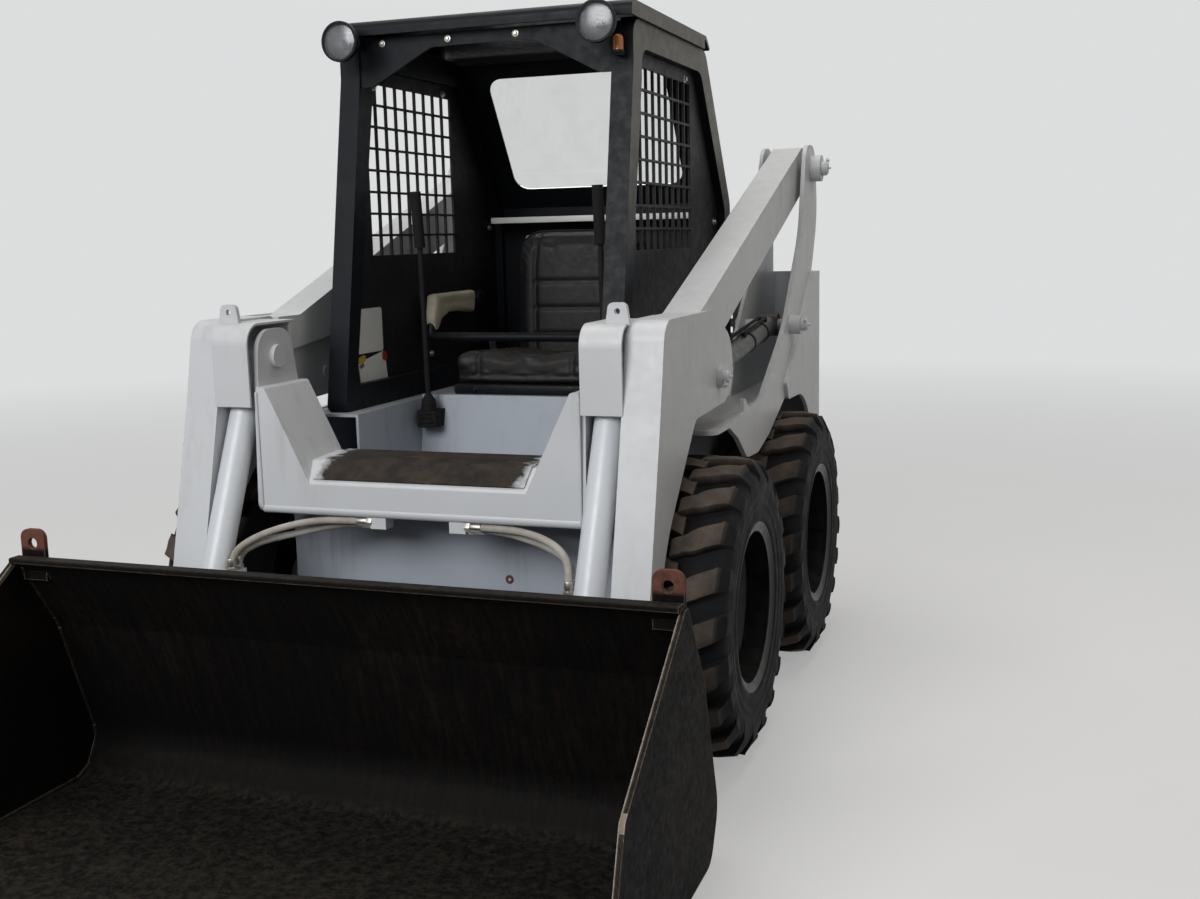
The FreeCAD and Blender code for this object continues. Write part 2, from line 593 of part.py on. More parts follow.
def tilt_cylinder():
    length, way = aim(TILT_TOP_Y, TILT_TOP_Z, TILT_EYE_Y, TILT_EYE_Z)
    base = vec(TILT_X, TILT_TOP_Y, TILT_TOP_Z)
    barrel = Part.makeCylinder(TILT_BARREL_R, TILT_BARREL_L - 20, base + way * 20, way)
    eye = rod_x(TILT_X - 30, TILT_X + 30, TILT_TOP_Y, TILT_TOP_Z, 38)
    port = block(PORT_X - 14, TILT_X - TILT_BARREL_R + 4, -512, -452, PORT_TOP_Z - 26, PORT_TOP_Z)
    behind = vec(0, -way.z, way.y)
    body = joined([barrel, eye, port])
    for end in (140, 560):
        foot = base + way * end + behind * (TILT_BARREL_R - 6)
        body = body.fuse(Part.makeCylinder(10, 26, foot, behind))
    line = Part.makeCylinder(6, 420, base + way * 140 + behind * (TILT_BARREL_R + 10), way)
    body = body.fuse(line)
    body = body.cut(Part.makeCylinder(TILT_ROD_R + 1, TILT_BARREL_L, base + way * 60, way))
    body = body.cut(rod_x(TILT_X - 60, TILT_X + 60, TILT_TOP_Y, TILT_TOP_Z, TILT_PIN_R + FIT))
    save_pair("tilt_barrel", body)
    rod = Part.makeCylinder(TILT_ROD_R, length - 140, base + way * 140, way)
    rod_eye = rod_x(TILT_X - 22, TILT_X + 22, TILT_EYE_Y, TILT_EYE_Z, 34)
    rod = rod.fuse(rod_eye).cut(rod_x(TILT_X - 60, TILT_X + 60, TILT_EYE_Y, TILT_EYE_Z, TILT_PIN_R + FIT))
    save_pair("tilt_rod", rod.removeSplitter())


# Quick attach and bucket.

def back_point(z, behind):
    """Point behind the bucket's back plate at height z, offset square to the plate."""
    rise = BACK_HIGH[1] - BACK_LOW[1]
    run = BACK_HIGH[0] - BACK_LOW[0]
    slope = run / rise
    stretch = math.hypot(rise, run) / rise
    return BACK_LOW[0] + (z - BACK_LOW[1]) * slope + behind * stretch, z


def quick_attach():
    low_z = 120
    high_z = 425
    face = [back_point(low_z, FIT) + (0,), back_point(high_z, FIT) + (0,),
            back_point(high_z, ATTACH_T) + (0,), back_point(low_z, ATTACH_T) + (0,)]
    plate = side_plate(face, -ATTACH_HALF, 2 * ATTACH_HALF)
    for x in (-TILT_X, TILT_X):
        window = [back_point(270, -5) + (0,), back_point(402, -5) + (0,), back_point(402, 40) + (0,),
                  back_point(270, 40) + (0,)]
        plate = plate.cut(side_plate(window, x - 29, 58))
    low = back_point(low_z + 8, ATTACH_T - 2)
    high = back_point(high_z - 8, ATTACH_T - 2)
    hinge_ear = [
        low + (0,), high + (0,), (TILT_EYE_Y + 10, TILT_EYE_Z + 44, 40), (FOOT_Y + 22, FOOT_Z + 70, 60),
        (FOOT_Y + 50, FOOT_Z - 50, 48), (FOOT_Y - 60, FOOT_Z - 52, 40)]
    outer_ear = [
        low + (0,), back_point(330, ATTACH_T - 2) + (0,), (FOOT_Y + 10, FOOT_Z + 66, 60),
        (FOOT_Y + 50, FOOT_Z - 50, 48), (FOOT_Y - 60, FOOT_Z - 52, 40)]
    tilt_ear = [
        back_point(270, ATTACH_T - 2) + (0,), high + (0,), (TILT_EYE_Y + 10, TILT_EYE_Z + 44, 40),
        (TILT_EYE_Y + 44, TILT_EYE_Z - 30, 36)]
    inner_x = ARM_IN_X - EAR_GAP - EAR_T
    outer_x = ARM_OUT_X + EAR_GAP
    tilt_in_x = TILT_X - 30 - EAR_T
    shapes = [plate]
    left = [
        side_plate(hinge_ear, inner_x, EAR_T), side_plate(outer_ear, outer_x, EAR_T),
        side_plate(tilt_ear, tilt_in_x, EAR_T),
        rod_x(inner_x - 2, outer_x + EAR_T + 14, FOOT_Y, FOOT_Z, FOOT_PIN_R),
        rod_x(tilt_in_x, TILT_X - 24, TILT_EYE_Y, TILT_EYE_Z, TILT_PIN_R),
        rod_x(TILT_X + 24, inner_x + 4, TILT_EYE_Y, TILT_EYE_Z, TILT_PIN_R)]
    base_x = [side_plate(face, ATTACH_HALF - 1, outer_x + EAR_T - ATTACH_HALF + 1)]
    for shape in left + base_x:
        shapes += [shape, mirrored(shape)]
    for x in (-HANDLE_X, HANDLE_X):
        lever = side_plate([
            back_point(330, ATTACH_T - 2) + (0,), back_point(478, ATTACH_T - 2) + (0,),
            back_point(478, ATTACH_T + 10) + (0,), back_point(330, ATTACH_T + 10) + (0,)], x - 12, 24)
        grip = Part.makeCylinder(13, 70, vec(x, back_point(470, ATTACH_T + 4)[0], 470), vec(0, 0.2, 1))
        shapes += [lever, grip]
    save("quick_attach", joined(shapes))


def bucket_back():
    return [LIP_TOP + (0,), BACK_HIGH + (40,), BACK_LOW + (90,), (-660.0, BUCKET_BOTTOM_Z, 60),
            (BUCKET_FRONT_Y + EDGE_W, BUCKET_BOTTOM_Z, 0)]


def bucket():
    half = BUCKET_HALF - SIDE_T
    shell = side_plate(bent_sheet(bucket_back(), -BUCKET_SHEET), -half, 2 * half)
    side_outline = [
        LIP_TOP + (0,), BACK_HIGH + (40,), BACK_LOW + (90,), (-660.0, BUCKET_BOTTOM_Z, 60),
        (-1440, BUCKET_BOTTOM_Z, 0), (-1290, 170, 60), (-1225, 345, 60), (-835, 612, 10)]
    side = side_plate(side_outline, half, SIDE_T)
    lip = side_plate([(-822, 596, 0), (-812, 622, 4), (-850, 622, 4), (-850, 610, 0)], -half, 2 * half)
    lug = front_plate([(half - 68, 560, 0), (half, 560, 0), (half, 684, 22), (half - 68, 684, 22)], -806, 12)
    lug = lug.cut(Part.makeCylinder(13, 40, vec(half - 34, -820, 650), vec(0, 1, 0)))
    shapes = [shell, lip, side, mirrored(side), lug, mirrored(lug)]
    save("bucket", joined(shapes))
    edge = side_plate([
        (BUCKET_FRONT_Y, BUCKET_BOTTOM_Z, 0), (BUCKET_FRONT_Y + EDGE_W - FIT, BUCKET_BOTTOM_Z, 0),
        (BUCKET_FRONT_Y + EDGE_W - FIT, BUCKET_BOTTOM_Z + EDGE_T, 0),
        (BUCKET_FRONT_Y + 36, BUCKET_BOTTOM_Z + EDGE_T, 0)], -half + FIT, 2 * half - 2 * FIT)
    save("cutting_edge", edge)


# Cab: tube frame, roof, side panels with screens, rear panel and window.

def pillar_line(z):
    share = (z - CAB_BASE_Z) / (PILLAR_HEAD_Z - CAB_BASE_Z)
    return PILLAR_FOOT_Y + share * (PILLAR_HEAD_Y - PILLAR_FOOT_Y)


def cab_outline(inset):
    """Side outline of the cab, its corners moved in by inset."""
    i = inset
    return [
        (PILLAR_FOOT_Y + i, CAB_BASE_Z + i, 20), (CAB_REAR_MID_Y - i, CAB_BASE_Z + i, 20),
        (CAB_REAR_MID_Y - i, CAB_REAR_MID_Z - i * 0.3, 60), (CAB_REAR_TOP_Y - i * 0.8, CAB_ROOF_Z - 40 - i, 60),
        (PILLAR_HEAD_Y + i * 0.9, CAB_ROOF_Z - 40 - i, 50), (PILLAR_HEAD_Y + i, PILLAR_HEAD_Z - i * 0.5, 60)]


def cab_frame():
    half = CAB_HALF
    ring = side_plate(cab_outline(0), half - PILLAR_W, PILLAR_W).cut(
        side_plate(cab_outline(PILLAR_D), half - PILLAR_W - 1, PILLAR_W + 2))
    low = PILLAR_HEAD_Z - 25
    header_outline = [
        (-half + PILLAR_W - 4, low, 10), (-335, low, 30), (-150, low + 97, 60), (150, low + 97, 60), (335, low, 30),
        (half - PILLAR_W + 4, low, 10), (half - PILLAR_W + 4, CAB_ROOF_Z - 41, 0),
        (-half + PILLAR_W - 4, CAB_ROOF_Z - 41, 0)]
    header = front_plate(header_outline, PILLAR_HEAD_Y + 6, 10)
    rear_beam = block(-half + PILLAR_W - 2, half - PILLAR_W + 2, CAB_REAR_MID_Y - 60, CAB_REAR_MID_Y - 10, 880, 940)
    save("cab_frame", joined([ring, mirrored(ring), header, rear_beam]))


def cab_roof():
    half = CAB_HALF + 10
    top = CAB_ROOF_Z
    front = ROOF_FRONT_Y
    roof = side_plate([
        (front, top - 40, 0), (front + 8, top - 40, 0), (front + 12, top - 12, 14), (CAB_REAR_TOP_Y - 30, top - 12, 20),
        (CAB_REAR_TOP_Y + 10, top - 39, 0), (CAB_REAR_TOP_Y + 16, top - 32, 0), (CAB_REAR_TOP_Y - 24, top, 24),
        (front, top, 24)], -half, 2 * half)
    seat_z = top - 40 + FIT
    skirt = block(half - 8, half, front + 4, CAB_REAR_TOP_Y - 40, seat_z, top - 10)
    rail = block(half - 60, half, PILLAR_HEAD_Y + 50, CAB_REAR_TOP_Y - 60, seat_z, seat_z + 8)
    save("cab_roof", joined([roof, skirt, mirrored(skirt), rail, mirrored(rail)]))


def cab_side():
    x = CAB_HALF - PILLAR_W / 2 - CAB_SHEET / 2
    outline = cab_outline(PILLAR_D + FIT)
    panel = side_plate(outline, x, CAB_SHEET)
    windows = []
    cell = SCREEN_CELL
    bar = SCREEN_BAR
    for row in range(8):
        for column in range(12):
            y = SCREEN_FRONT_Y + column * cell
            z = SCREEN_LOW_Z + row * cell
            rear = CAB_REAR_MID_Y - (z + cell - CAB_REAR_MID_Z) * 0.66 if z + cell > CAB_REAR_MID_Z else CAB_REAR_MID_Y
            if z + cell > PILLAR_HEAD_Z + 25 or y + cell > min(rear - 110, SCREEN_REAR_Y) or y < pillar_line(z) + 92:
                continue
            windows.append(block(x - 1, x + CAB_SHEET + 1, y, y + cell - bar, z, z + cell - bar))
    panel = panel.cut(Part.makeCompound(windows))
    save_pair("cab_side", panel)


def rear_line(z):
    """Y of the cab's sloping rear at height z."""
    rise = CAB_ROOF_Z - 40 - CAB_REAR_MID_Z
    return CAB_REAR_MID_Y + (z - CAB_REAR_MID_Z) * (CAB_REAR_TOP_Y - CAB_REAR_MID_Y) / rise


def sloped_panel(half, z0, z1, front, thickness, radius):
    """Panel square across the cab, lying along its sloping rear."""
    a = vec(-half, rear_line(z0) - front, z0)
    b = vec(-half, rear_line(z1) - front, z1)
    up = (b - a).normalize()
    length = (b - a).Length
    corners = [(0, 0, radius), (2 * half, 0, radius), (2 * half, length, radius), (0, length, radius)]
    face = Part.Face(rounded(corners, lambda p: a + vec(p.x, 0, 0) + up * p.y))
    return face.extrude(vec(0, up.z, -up.y) * thickness)


def cab_rear():
    half = CAB_HALF - PILLAR_W - FIT
    upper = sloped_panel(half, CAB_REAR_MID_Z - 10, CAB_ROOF_Z - 62, 44, 8, 0)
    opening = sloped_panel(300, 1500, 1846, 60, 40, 50)
    pane = sloped_panel(300 - FIT, 1500.4, 1845.6, 60, 40, 50 - FIT).common(
        sloped_panel(half, 1450, 1880, 42, 5, 0))
    lower = block(-half, half, CAB_REAR_MID_Y - 48, CAB_REAR_MID_Y - 40, 945, CAB_REAR_MID_Z + 4)
    shelf = block(-half, half, 960, CAB_REAR_MID_Y - 44, 1392, 1400)
    save("cab_rear_panel", joined([upper.cut(opening), lower, shelf]))
    save("rear_window", pane)


def lamps():
    shapes = []
    for x in (-LAMP_X, LAMP_X):
        shell = Part.makeCone(LAMP_R - 18, LAMP_R, 52, vec(x, LAMP_Y + 40, LAMP_Z), vec(0, -1, 0))
        rim = Part.makeCylinder(LAMP_R + 4, 10, vec(x, LAMP_Y - 12, LAMP_Z), vec(0, -1, 0))
        stalk_x = math.copysign(CAB_HALF - PILLAR_W - 14, x)
        stalk = block(stalk_x - 11, stalk_x + 11, LAMP_Y + 20, PILLAR_HEAD_Y + 6 - FIT, LAMP_Z - 12, LAMP_Z + 12)
        shapes.append(joined([shell, rim, stalk]))
    marker = Part.makeCylinder(14, 44, vec(CAB_HALF - 30, PILLAR_HEAD_Y - 34, MARKER_Z), vec(0, 0, 1))
    bracket = block(CAB_HALF - 40, CAB_HALF - 20, PILLAR_HEAD_Y - 40, PILLAR_HEAD_Y - FIT, MARKER_Z - 9, MARKER_Z + 1)
    save("work_lamps", shapes)
    tail = block(UPRIGHT_OUT_X - 48, UPRIGHT_OUT_X + 2, 1470 + FIT, REAR_Y - 4, 980, 1100)
    save("signal_lamps", [joined([marker, bracket]), tail, mirrored(tail)])


# Operator's place.

def seat():
    cushion = side_plate([
        (345, SHELF_Z + FIT, 30), (345, 1018, 45), (790, 995, 30), (790, SHELF_Z + FIT, 20)], -235, 470)
    back = side_plate([
        (790 + FIT, SHELF_Z + FIT, 0), (815, 1370, 45), (905, 1370, 40), (880, SHELF_Z + FIT, 20)], -225, 450)
    save("seat_cushion", cushion)
    save("seat_back", back)


def seat_bar():
    """Bar over the operator's lap, hinged at the cab's sides, with padded arm rests."""
    knee_y = 470
    lap_y = 445
    lap_z = 1046
    arm = rod_between(vec(BAR_X, BAR_PIVOT_Y, BAR_PIVOT_Z), vec(BAR_X, knee_y, BAR_PIVOT_Z - 5), BAR_R)
    leg = rod_between(vec(BAR_X, knee_y, BAR_PIVOT_Z - 5), vec(BAR_X, lap_y, lap_z), BAR_R)
    corner = Part.makeSphere(BAR_R, vec(BAR_X, knee_y, BAR_PIVOT_Z - 5))
    end = Part.makeSphere(BAR_R, vec(BAR_X, lap_y, lap_z))
    bar = rod_x(-BAR_X, BAR_X, lap_y, lap_z, BAR_R)
    pad = side_plate([
        (438, 1058, 8), (428, 1100, 40), (458, 1192, 40), (760, 1190, 20), (764, 1150, 20), (748, 1100, 20),
        (560, 1106, 40), (492, 1086, 20), (470, 1056, 8)], BAR_X - 20, 40)
    hub = rod_x(BAR_X - 5, CAB_HALF - PILLAR_W / 2 - CAB_SHEET / 2 - FIT, BAR_PIVOT_Y, BAR_PIVOT_Z, 20)
    shapes = [bar]
    for shape in (arm, leg, corner, end, pad, hub):
        shapes += [shape, mirrored(shape)]
    save("seat_bar", joined(shapes))


def riser_y(z):
    """Front face of the seat riser at height z."""
    return RISER_FOOT_Y + (z - FLOOR_Z) * (RISER_TOP_Y - RISER_FOOT_Y) / (SHELF_Z - FLOOR_Z)


def levers():
    """Control levers in rubber boots on the seat riser."""
    z = LEVER_FOOT_Z
    foot = side_plate([
        (LEVER_Y - 20, z, 6), (riser_y(z) - FIT, z, 0), (riser_y(z + 50) - FIT, z + 50, 0), (LEVER_Y - 20, z + 50, 6)],
        LEVER_X - 30, 60)
    boot = Part.makeCone(30, 20, 84, vec(LEVER_X, LEVER_Y, z), vec(0, 0, 1))
    rod = rod_between(vec(LEVER_X, LEVER_Y, z + 60), vec(LEVER_X, LEVER_Y - 14, LEVER_TOP_Z - 150), 8)
    grip = rod_between(vec(LEVER_X, LEVER_Y - 14, LEVER_TOP_Z - 160), vec(LEVER_X, LEVER_Y - 30, LEVER_TOP_Z), 16)
    left = joined([foot, boot, rod, grip])
    save("control_levers", [left, mirrored(left)])


# Engine compartment.

def engine():
    save("engine_block", block(-ENGINE_HALF, ENGINE_HALF, 1010, 1400, BELLY_Z + PLATE + FIT, 860))


def engine_cover():
    """Slotted lid over the engine, hinged near its front edge between the uprights."""
    front = HOOD_FRONT_Y
    rear = 1470
    lid = [(front, 1182, 0), (front + 8, 1182, 0), (front + 8, HOOD_Z - 8, 10), (rear - 8, 1232, 10), (rear - 8, 1182, 0),
           (rear, 1182, 0), (rear, 1240, 16), (front, HOOD_Z, 16)]
    cover = side_plate(lid, -HOOD_HALF, 2 * HOOD_HALF)
    slots = []
    for i in range(6):
        y = 1262 + i * 32
        slots.append(block(-420, -20, y, y + 16, 1150, 1350))
        slots.append(block(20, 420, y, y + 16, 1150, 1350))
    side = side_plate([
        (front, 1182, 0), (rear, 1182, 0), (rear, 1228, 0), (front, HOOD_Z - 8, 0)], HOOD_HALF - 8, 8)
    cover = joined([cover.cut(Part.makeCompound(slots)), side, mirrored(side)])
    bore = rod_x(-HOOD_HALF - 1, HOOD_HALF + 1, HOOD_HINGE_Y, HOOD_HINGE_Z, HOOD_PIN_R + FIT)
    save("engine_cover", cover.cut(bore))


def tailgate():
    y0 = GATE_FRONT_Y
    gate = front_plate([
        (-GATE_HALF, GATE_BOTTOM_Z, 20), (GATE_HALF, GATE_BOTTOM_Z, 20), (GATE_HALF, GATE_TOP_Z, 20),
        (-GATE_HALF, GATE_TOP_Z, 20)], y0, REAR_Y - y0)
    slots = []
    for i in range(9):
        z = 620 + i * 52
        slots.append(block(-360, 360, y0 - 1, REAR_Y + 1, z, z + 22))
    shapes = [gate.cut(Part.makeCompound(slots))]
    for z in GATE_HINGE_Z:
        shapes.append(Part.makeCylinder(HINGE_R, 40, vec(HINGE_X, HINGE_Y, z)))
        shapes.append(block(HINGE_X, -GATE_HALF + 2, HINGE_Y - 8, HINGE_Y + 8, z, z + 40))
    gate = joined(shapes)
    for z in GATE_HINGE_Z:
        gate = gate.cut(Part.makeCylinder(HINGE_PIN_R + FIT, 42, vec(HINGE_X, HINGE_Y, z - 1)))
    save("tailgate", gate)


# Hoses from the crossmember to the tilt cylinders.

def cord(points, r):
    """Round tube along straight runs joined by the largest tangent arcs that fit."""
    pts = [vec(*p) for p in points]
    runs = [(pts[i + 1] - pts[i]).Length for i in range(len(pts) - 1)]
    edges = []
    start = pts[0]
    for i in range(1, len(pts) - 1):
        back = (pts[i - 1] - pts[i]).normalize()
        ahead = (pts[i + 1] - pts[i]).normalize()
        half = back.getAngle(ahead) / 2
        reach = 0.45 * min(runs[i - 1], runs[i])
        radius = reach * math.tan(half)
        middle = (back + ahead).normalize()
        centre = pts[i] + middle * (radius / math.sin(half))
        a = pts[i] + back * reach
        b = pts[i] + ahead * reach
        edges.append(Part.LineSegment(start, a).toShape())
        edges.append(Part.Arc(a, centre - middle * radius, b).toShape())
        print("hose bend radius", round(radius, 1))
        start = b
    edges.append(Part.LineSegment(start, pts[-1]).toShape())
    path = Part.Wire(edges)
    way = (pts[1] - pts[0]).normalize()
    circle = Part.Wire([Part.Circle(pts[0], way, r).toShape()])
    tube = path.makePipeShell([circle], True, False)
    print("hose length", round(path.Length, 1), "volume ratio", round(tube.Volume / (math.pi * r * r * path.Length), 4))
    return tube


def hoses():
    """Two hoses a side, from the fitting under the crossmember to the port block on the barrel."""
    x = HOSE_START_X + 22 + FIT
    end_z = PORT_TOP_Z + FIT
    upper = [(x, -346, 639), (205, -346, 639), (295, -356, 636), (375, -385, 620), (432, -440, 598),
             (PORT_X, -495, 568), (PORT_X, -495, end_z)]
    lower = [(x, -326, 629), (205, -326, 629), (290, -330, 612), (362, -352, 596), (425, -412, 586),
             (PORT_X, -467, 564), (PORT_X, -467, end_z)]
    pair = [cord(upper, HOSE_R), cord(lower, HOSE_R)]
    save_pair("tilt_hoses", Part.makeCompound(pair))


wheels()
axle_tubes()
main_frame()
footwell()
upright()
lift_arm()
crossmember()
step_tread()
lift_cylinder()
tilt_cylinder()
quick_attach()
bucket()
cab_frame()
cab_roof()
cab_side()
cab_rear()
lamps()
seat()
seat_bar()
levers()
engine()
engine_cover()
tailgate()
hoses()
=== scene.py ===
# %% [markdown]
# # A skid steer loader, dressed for the studio
# The engineering model gives every steel part its size and its joint. This lesson loads that
# model as a frame and adds what the eye expects: worn paint, treaded tyres, soft padding,
# bolts, welds and lamps. Nothing here changes a size: each piece is built in its final place,
# in metres, with X to the machine's left, Y to its rear and Z up.

# %% Load the frame
import json
import math

import bmesh
import bpy
from mathutils import Matrix, Vector


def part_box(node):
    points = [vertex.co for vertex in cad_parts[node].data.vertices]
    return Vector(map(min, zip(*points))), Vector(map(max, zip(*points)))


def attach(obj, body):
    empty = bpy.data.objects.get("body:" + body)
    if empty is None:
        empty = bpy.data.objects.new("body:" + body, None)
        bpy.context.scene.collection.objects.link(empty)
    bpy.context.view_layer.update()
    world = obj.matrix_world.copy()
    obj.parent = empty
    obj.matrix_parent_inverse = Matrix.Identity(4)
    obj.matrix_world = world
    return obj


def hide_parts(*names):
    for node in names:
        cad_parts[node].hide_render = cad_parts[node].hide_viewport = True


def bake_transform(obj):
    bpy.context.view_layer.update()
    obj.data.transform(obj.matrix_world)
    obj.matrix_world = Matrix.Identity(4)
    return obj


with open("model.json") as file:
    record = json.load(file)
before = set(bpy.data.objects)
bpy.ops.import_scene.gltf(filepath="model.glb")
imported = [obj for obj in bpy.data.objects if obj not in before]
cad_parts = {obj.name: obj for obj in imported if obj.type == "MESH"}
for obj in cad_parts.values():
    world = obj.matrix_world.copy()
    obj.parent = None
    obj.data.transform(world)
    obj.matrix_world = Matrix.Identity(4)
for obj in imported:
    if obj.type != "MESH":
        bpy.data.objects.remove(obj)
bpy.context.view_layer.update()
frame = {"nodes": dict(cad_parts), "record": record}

NODES = frame["nodes"]
SIDES = (("left", 1.0), ("right", -1.0))
BOTH = (1.0, -1.0)
FACING = Vector((0, -1, 0))


def shown(name, data):
    """A new object in the scene that shows some data."""
    made = bpy.data.objects.new(name, data)
    bpy.context.scene.collection.objects.link(made)
    return made


# %% [markdown]
# ## The photographer's place
# The machine stands turned a little, with its bucket towards us and the camera at the height
# of a seated person. The camera's place was measured from the picture, so it is written as
# real metres and degrees. The order of the turns matters: the roll is done last, about the
# line of sight.

# %% Camera
CAMERA_AT = Vector((1.5223, -3.2473, 1.3331))
CAMERA_YAW = math.radians(-19.67)
CAMERA_PITCH = math.radians(-9.03)
CAMERA_ROLL = math.radians(-1.31)
CAMERA_LENS_MM = 39.744
CAMERA_SENSOR_MM = 36.0


def look_matrix(yaw, pitch, roll):
    """Axes of a camera that looks along +Y when every angle is zero."""
    ahead = Vector((math.sin(yaw) * math.cos(pitch), math.cos(yaw) * math.cos(pitch), math.sin(pitch)))
    across = Vector((math.cos(yaw), -math.sin(yaw), 0.0))
    above = across.cross(ahead)
    rolled_across = across * math.cos(roll) + above * math.sin(roll)
    rolled_above = above * math.cos(roll) - across * math.sin(roll)
    return Matrix((rolled_across, rolled_above, -ahead)).transposed().to_4x4()


camera_data = bpy.data.cameras.new("camera")
camera_data.lens = CAMERA_LENS_MM
camera_data.sensor_width = CAMERA_SENSOR_MM
camera_data.sensor_fit = "HORIZONTAL"
camera = shown("camera", camera_data)
camera.matrix_world = Matrix.Translation(CAMERA_AT) @ look_matrix(CAMERA_YAW, CAMERA_PITCH, CAMERA_ROLL)
bpy.context.scene.camera = camera
print("camera", tuple(round(v, 3) for v in camera.location))

# %% [markdown]
# ## A short hand for shaders
# Every finish on this machine is paint, steel, rubber or vinyl that has been used for years,
# so all of them are built from the same few ideas: a base colour, soft blotches, fine specks,
# dust where a surface faces up, and bare metal where an edge rubs. Two small classes keep the
# node trees readable. All patterns sit on Object coordinates, which stay fixed to the steel.

# %% The shader classes
DUST = (0.33, 0.29, 0.23)
GRIME = (0.10, 0.085, 0.065)
RUST = (0.17, 0.065, 0.025)
BEVEL_SAMPLES = 4


class Tree:
    """A node tree being built, with short names for the nodes it uses."""

    def __init__(self, owner):
        owner.use_nodes = True
        self.tree = owner.node_tree
        self.tree.nodes.clear()

    def node(self, kind, **settings):
        made = self.tree.nodes.new("ShaderNode" + kind)
        for key, value in settings.items():
            setattr(made, key, value)
        return made

    def link(self, source, target):
        self.tree.links.new(source, target)

    def feed(self, target, value):
        """Links a socket or writes a constant into it."""
        if isinstance(value, bpy.types.NodeSocket):
            self.link(value, target)
        elif isinstance(value, tuple) and target.type == "RGBA":
            target.default_value = value[:3] + (1.0,)
        else:
            target.default_value = value

    def calc(self, operation, a, b=0.0):
        """One sum; its result is clamped to 0..1 unless it is a difference."""
        made = self.node("Math", operation=operation, use_clamp=operation != "SUBTRACT")
        self.feed(made.inputs[0], a)
        self.feed(made.inputs[1], b)
        return made.outputs["Value"]

    def product(self, a, b):
        return self.calc("MULTIPLY", a, b)

    def in_view(self):
        """1 for what the camera sees, by itself, in a mirror or through glass."""
        path = self.node("LightPath")
        seen = path.outputs["Is Camera Ray"]
        for ray in ("Is Glossy Ray", "Is Transmission Ray"):
            seen = self.calc("MAXIMUM", seen, path.outputs[ray])
        return seen

    def light(self, kind, colour, strength):
        """A background or an emission of one colour."""
        made = self.node(kind)
        self.feed(made.inputs["Color"], colour)
        self.feed(made.inputs["Strength"], strength)
        return made.outputs[0]

    def blend(self, mask, low, high, target):
        """Sends shader low, where the mask is 0, or shader high, where it is 1, to a socket."""
        made = self.node("MixShader")
        for socket, source in zip(made.inputs, (mask, low, high)):
            self.link(source, socket)
        self.link(made.outputs[0], target)


class Finish(Tree):
    """A material with one main shader, and the material slot that it stands for."""

    def __init__(self, name):
        self.slot = name
        self.material = bpy.data.materials.new(name)
        super().__init__(self.material)
        self.surface = self.node("BsdfPrincipled")
        self.output = self.node("OutputMaterial").inputs["Surface"]
        self.link(self.surface.outputs["BSDF"], self.output)
        self.place = self.node("TexCoord").outputs["Object"]
        self.normal = self.node("NewGeometry").outputs["Normal"]

    def axis(self, letter, source=None):
        """One coordinate of the place, or of another vector."""
        split = self.node("SeparateXYZ")
        self.link(source or self.place, split.inputs[0])
        return split.outputs[letter]

    def stretched(self, *scale):
        """The place on the piece, scaled along each axis."""
        made = self.node("Mapping")
        self.link(self.place, made.inputs["Vector"])
        made.inputs["Scale"].default_value = scale
        return made.outputs["Vector"]

    def noise(self, scale, detail=4.0, roughness=0.55, at=None):
        made = self.node("TexNoise")
        self.link(at or self.place, made.inputs["Vector"])
        for socket, value in (("Scale", scale), ("Detail", detail), ("Roughness", roughness)):
            made.inputs[socket].default_value = value
        return made.outputs["Fac"]

    def spread(self, value, low, high, out_low=0.0, out_high=1.0):
        """Maps low..high to out_low..out_high and clamps."""
        made = self.node("MapRange", clamp=True)
        self.link(value, made.inputs["Value"])
        for socket, limit in (("From Min", low), ("From Max", high), ("To Min", out_low), ("To Max", out_high)):
            made.inputs[socket].default_value = limit
        return made.outputs["Result"]

    def colours(self, mask, low, high):
        """Colour low where the mask is 0 and colour high where it is 1."""
        made = self.node("Mix", data_type="RGBA")
        for socket, value in ((made.inputs["Factor"], mask), (made.inputs[6], low), (made.inputs[7], high)):
            self.feed(socket, value)
        return made.outputs[2]

    def facing_up(self, low, high):
        return self.spread(self.axis("Z", self.normal), low, high)

    def rounded(self, radius):
        """The normal of a surface whose edges are rounded by a radius."""
        soft = self.node("Bevel", samples=BEVEL_SAMPLES)
        soft.inputs["Radius"].default_value = radius
        return soft.outputs["Normal"]

    def edges(self, radius, low=0.04, high=0.25):
        """1 where the surface turns sharply within the radius."""
        turn = self.node("VectorMath", operation="DOT_PRODUCT")
        self.link(self.rounded(radius), turn.inputs[0])
        self.link(self.normal, turn.inputs[1])
        return self.spread(self.calc("SUBTRACT", 1.0, turn.outputs["Value"]), low, high)

    def relief(self, height, strength, distance, rounded=0.0):
        """Bump from a height, over edges that are rounded by a radius."""
        made = self.node("Bump")
        self.link(height, made.inputs["Height"])
        made.inputs["Strength"].default_value = strength
        made.inputs["Distance"].default_value = distance
        if rounded:
            self.link(self.rounded(rounded), made.inputs["Normal"])
        self.link(made.outputs["Normal"], self.surface.inputs["Normal"])

    def set(self, **sockets):
        """Writes or links the shader's own sockets: Base_Color=..., Roughness=..."""
        for key, value in sockets.items():
            self.feed(self.surface.inputs[key.replace("_", " ")], value)

    def paint_over(self, mask, colour):
        """Lays a colour over what the base colour has been so far."""
        under = self.surface.inputs["Base Color"].links[0].from_socket
        self.set(Base_Color=self.colours(mask, under, colour))


def shade(colour, factor):
    """A colour made darker or lighter by a factor."""
    return tuple(channel * factor for channel in colour)
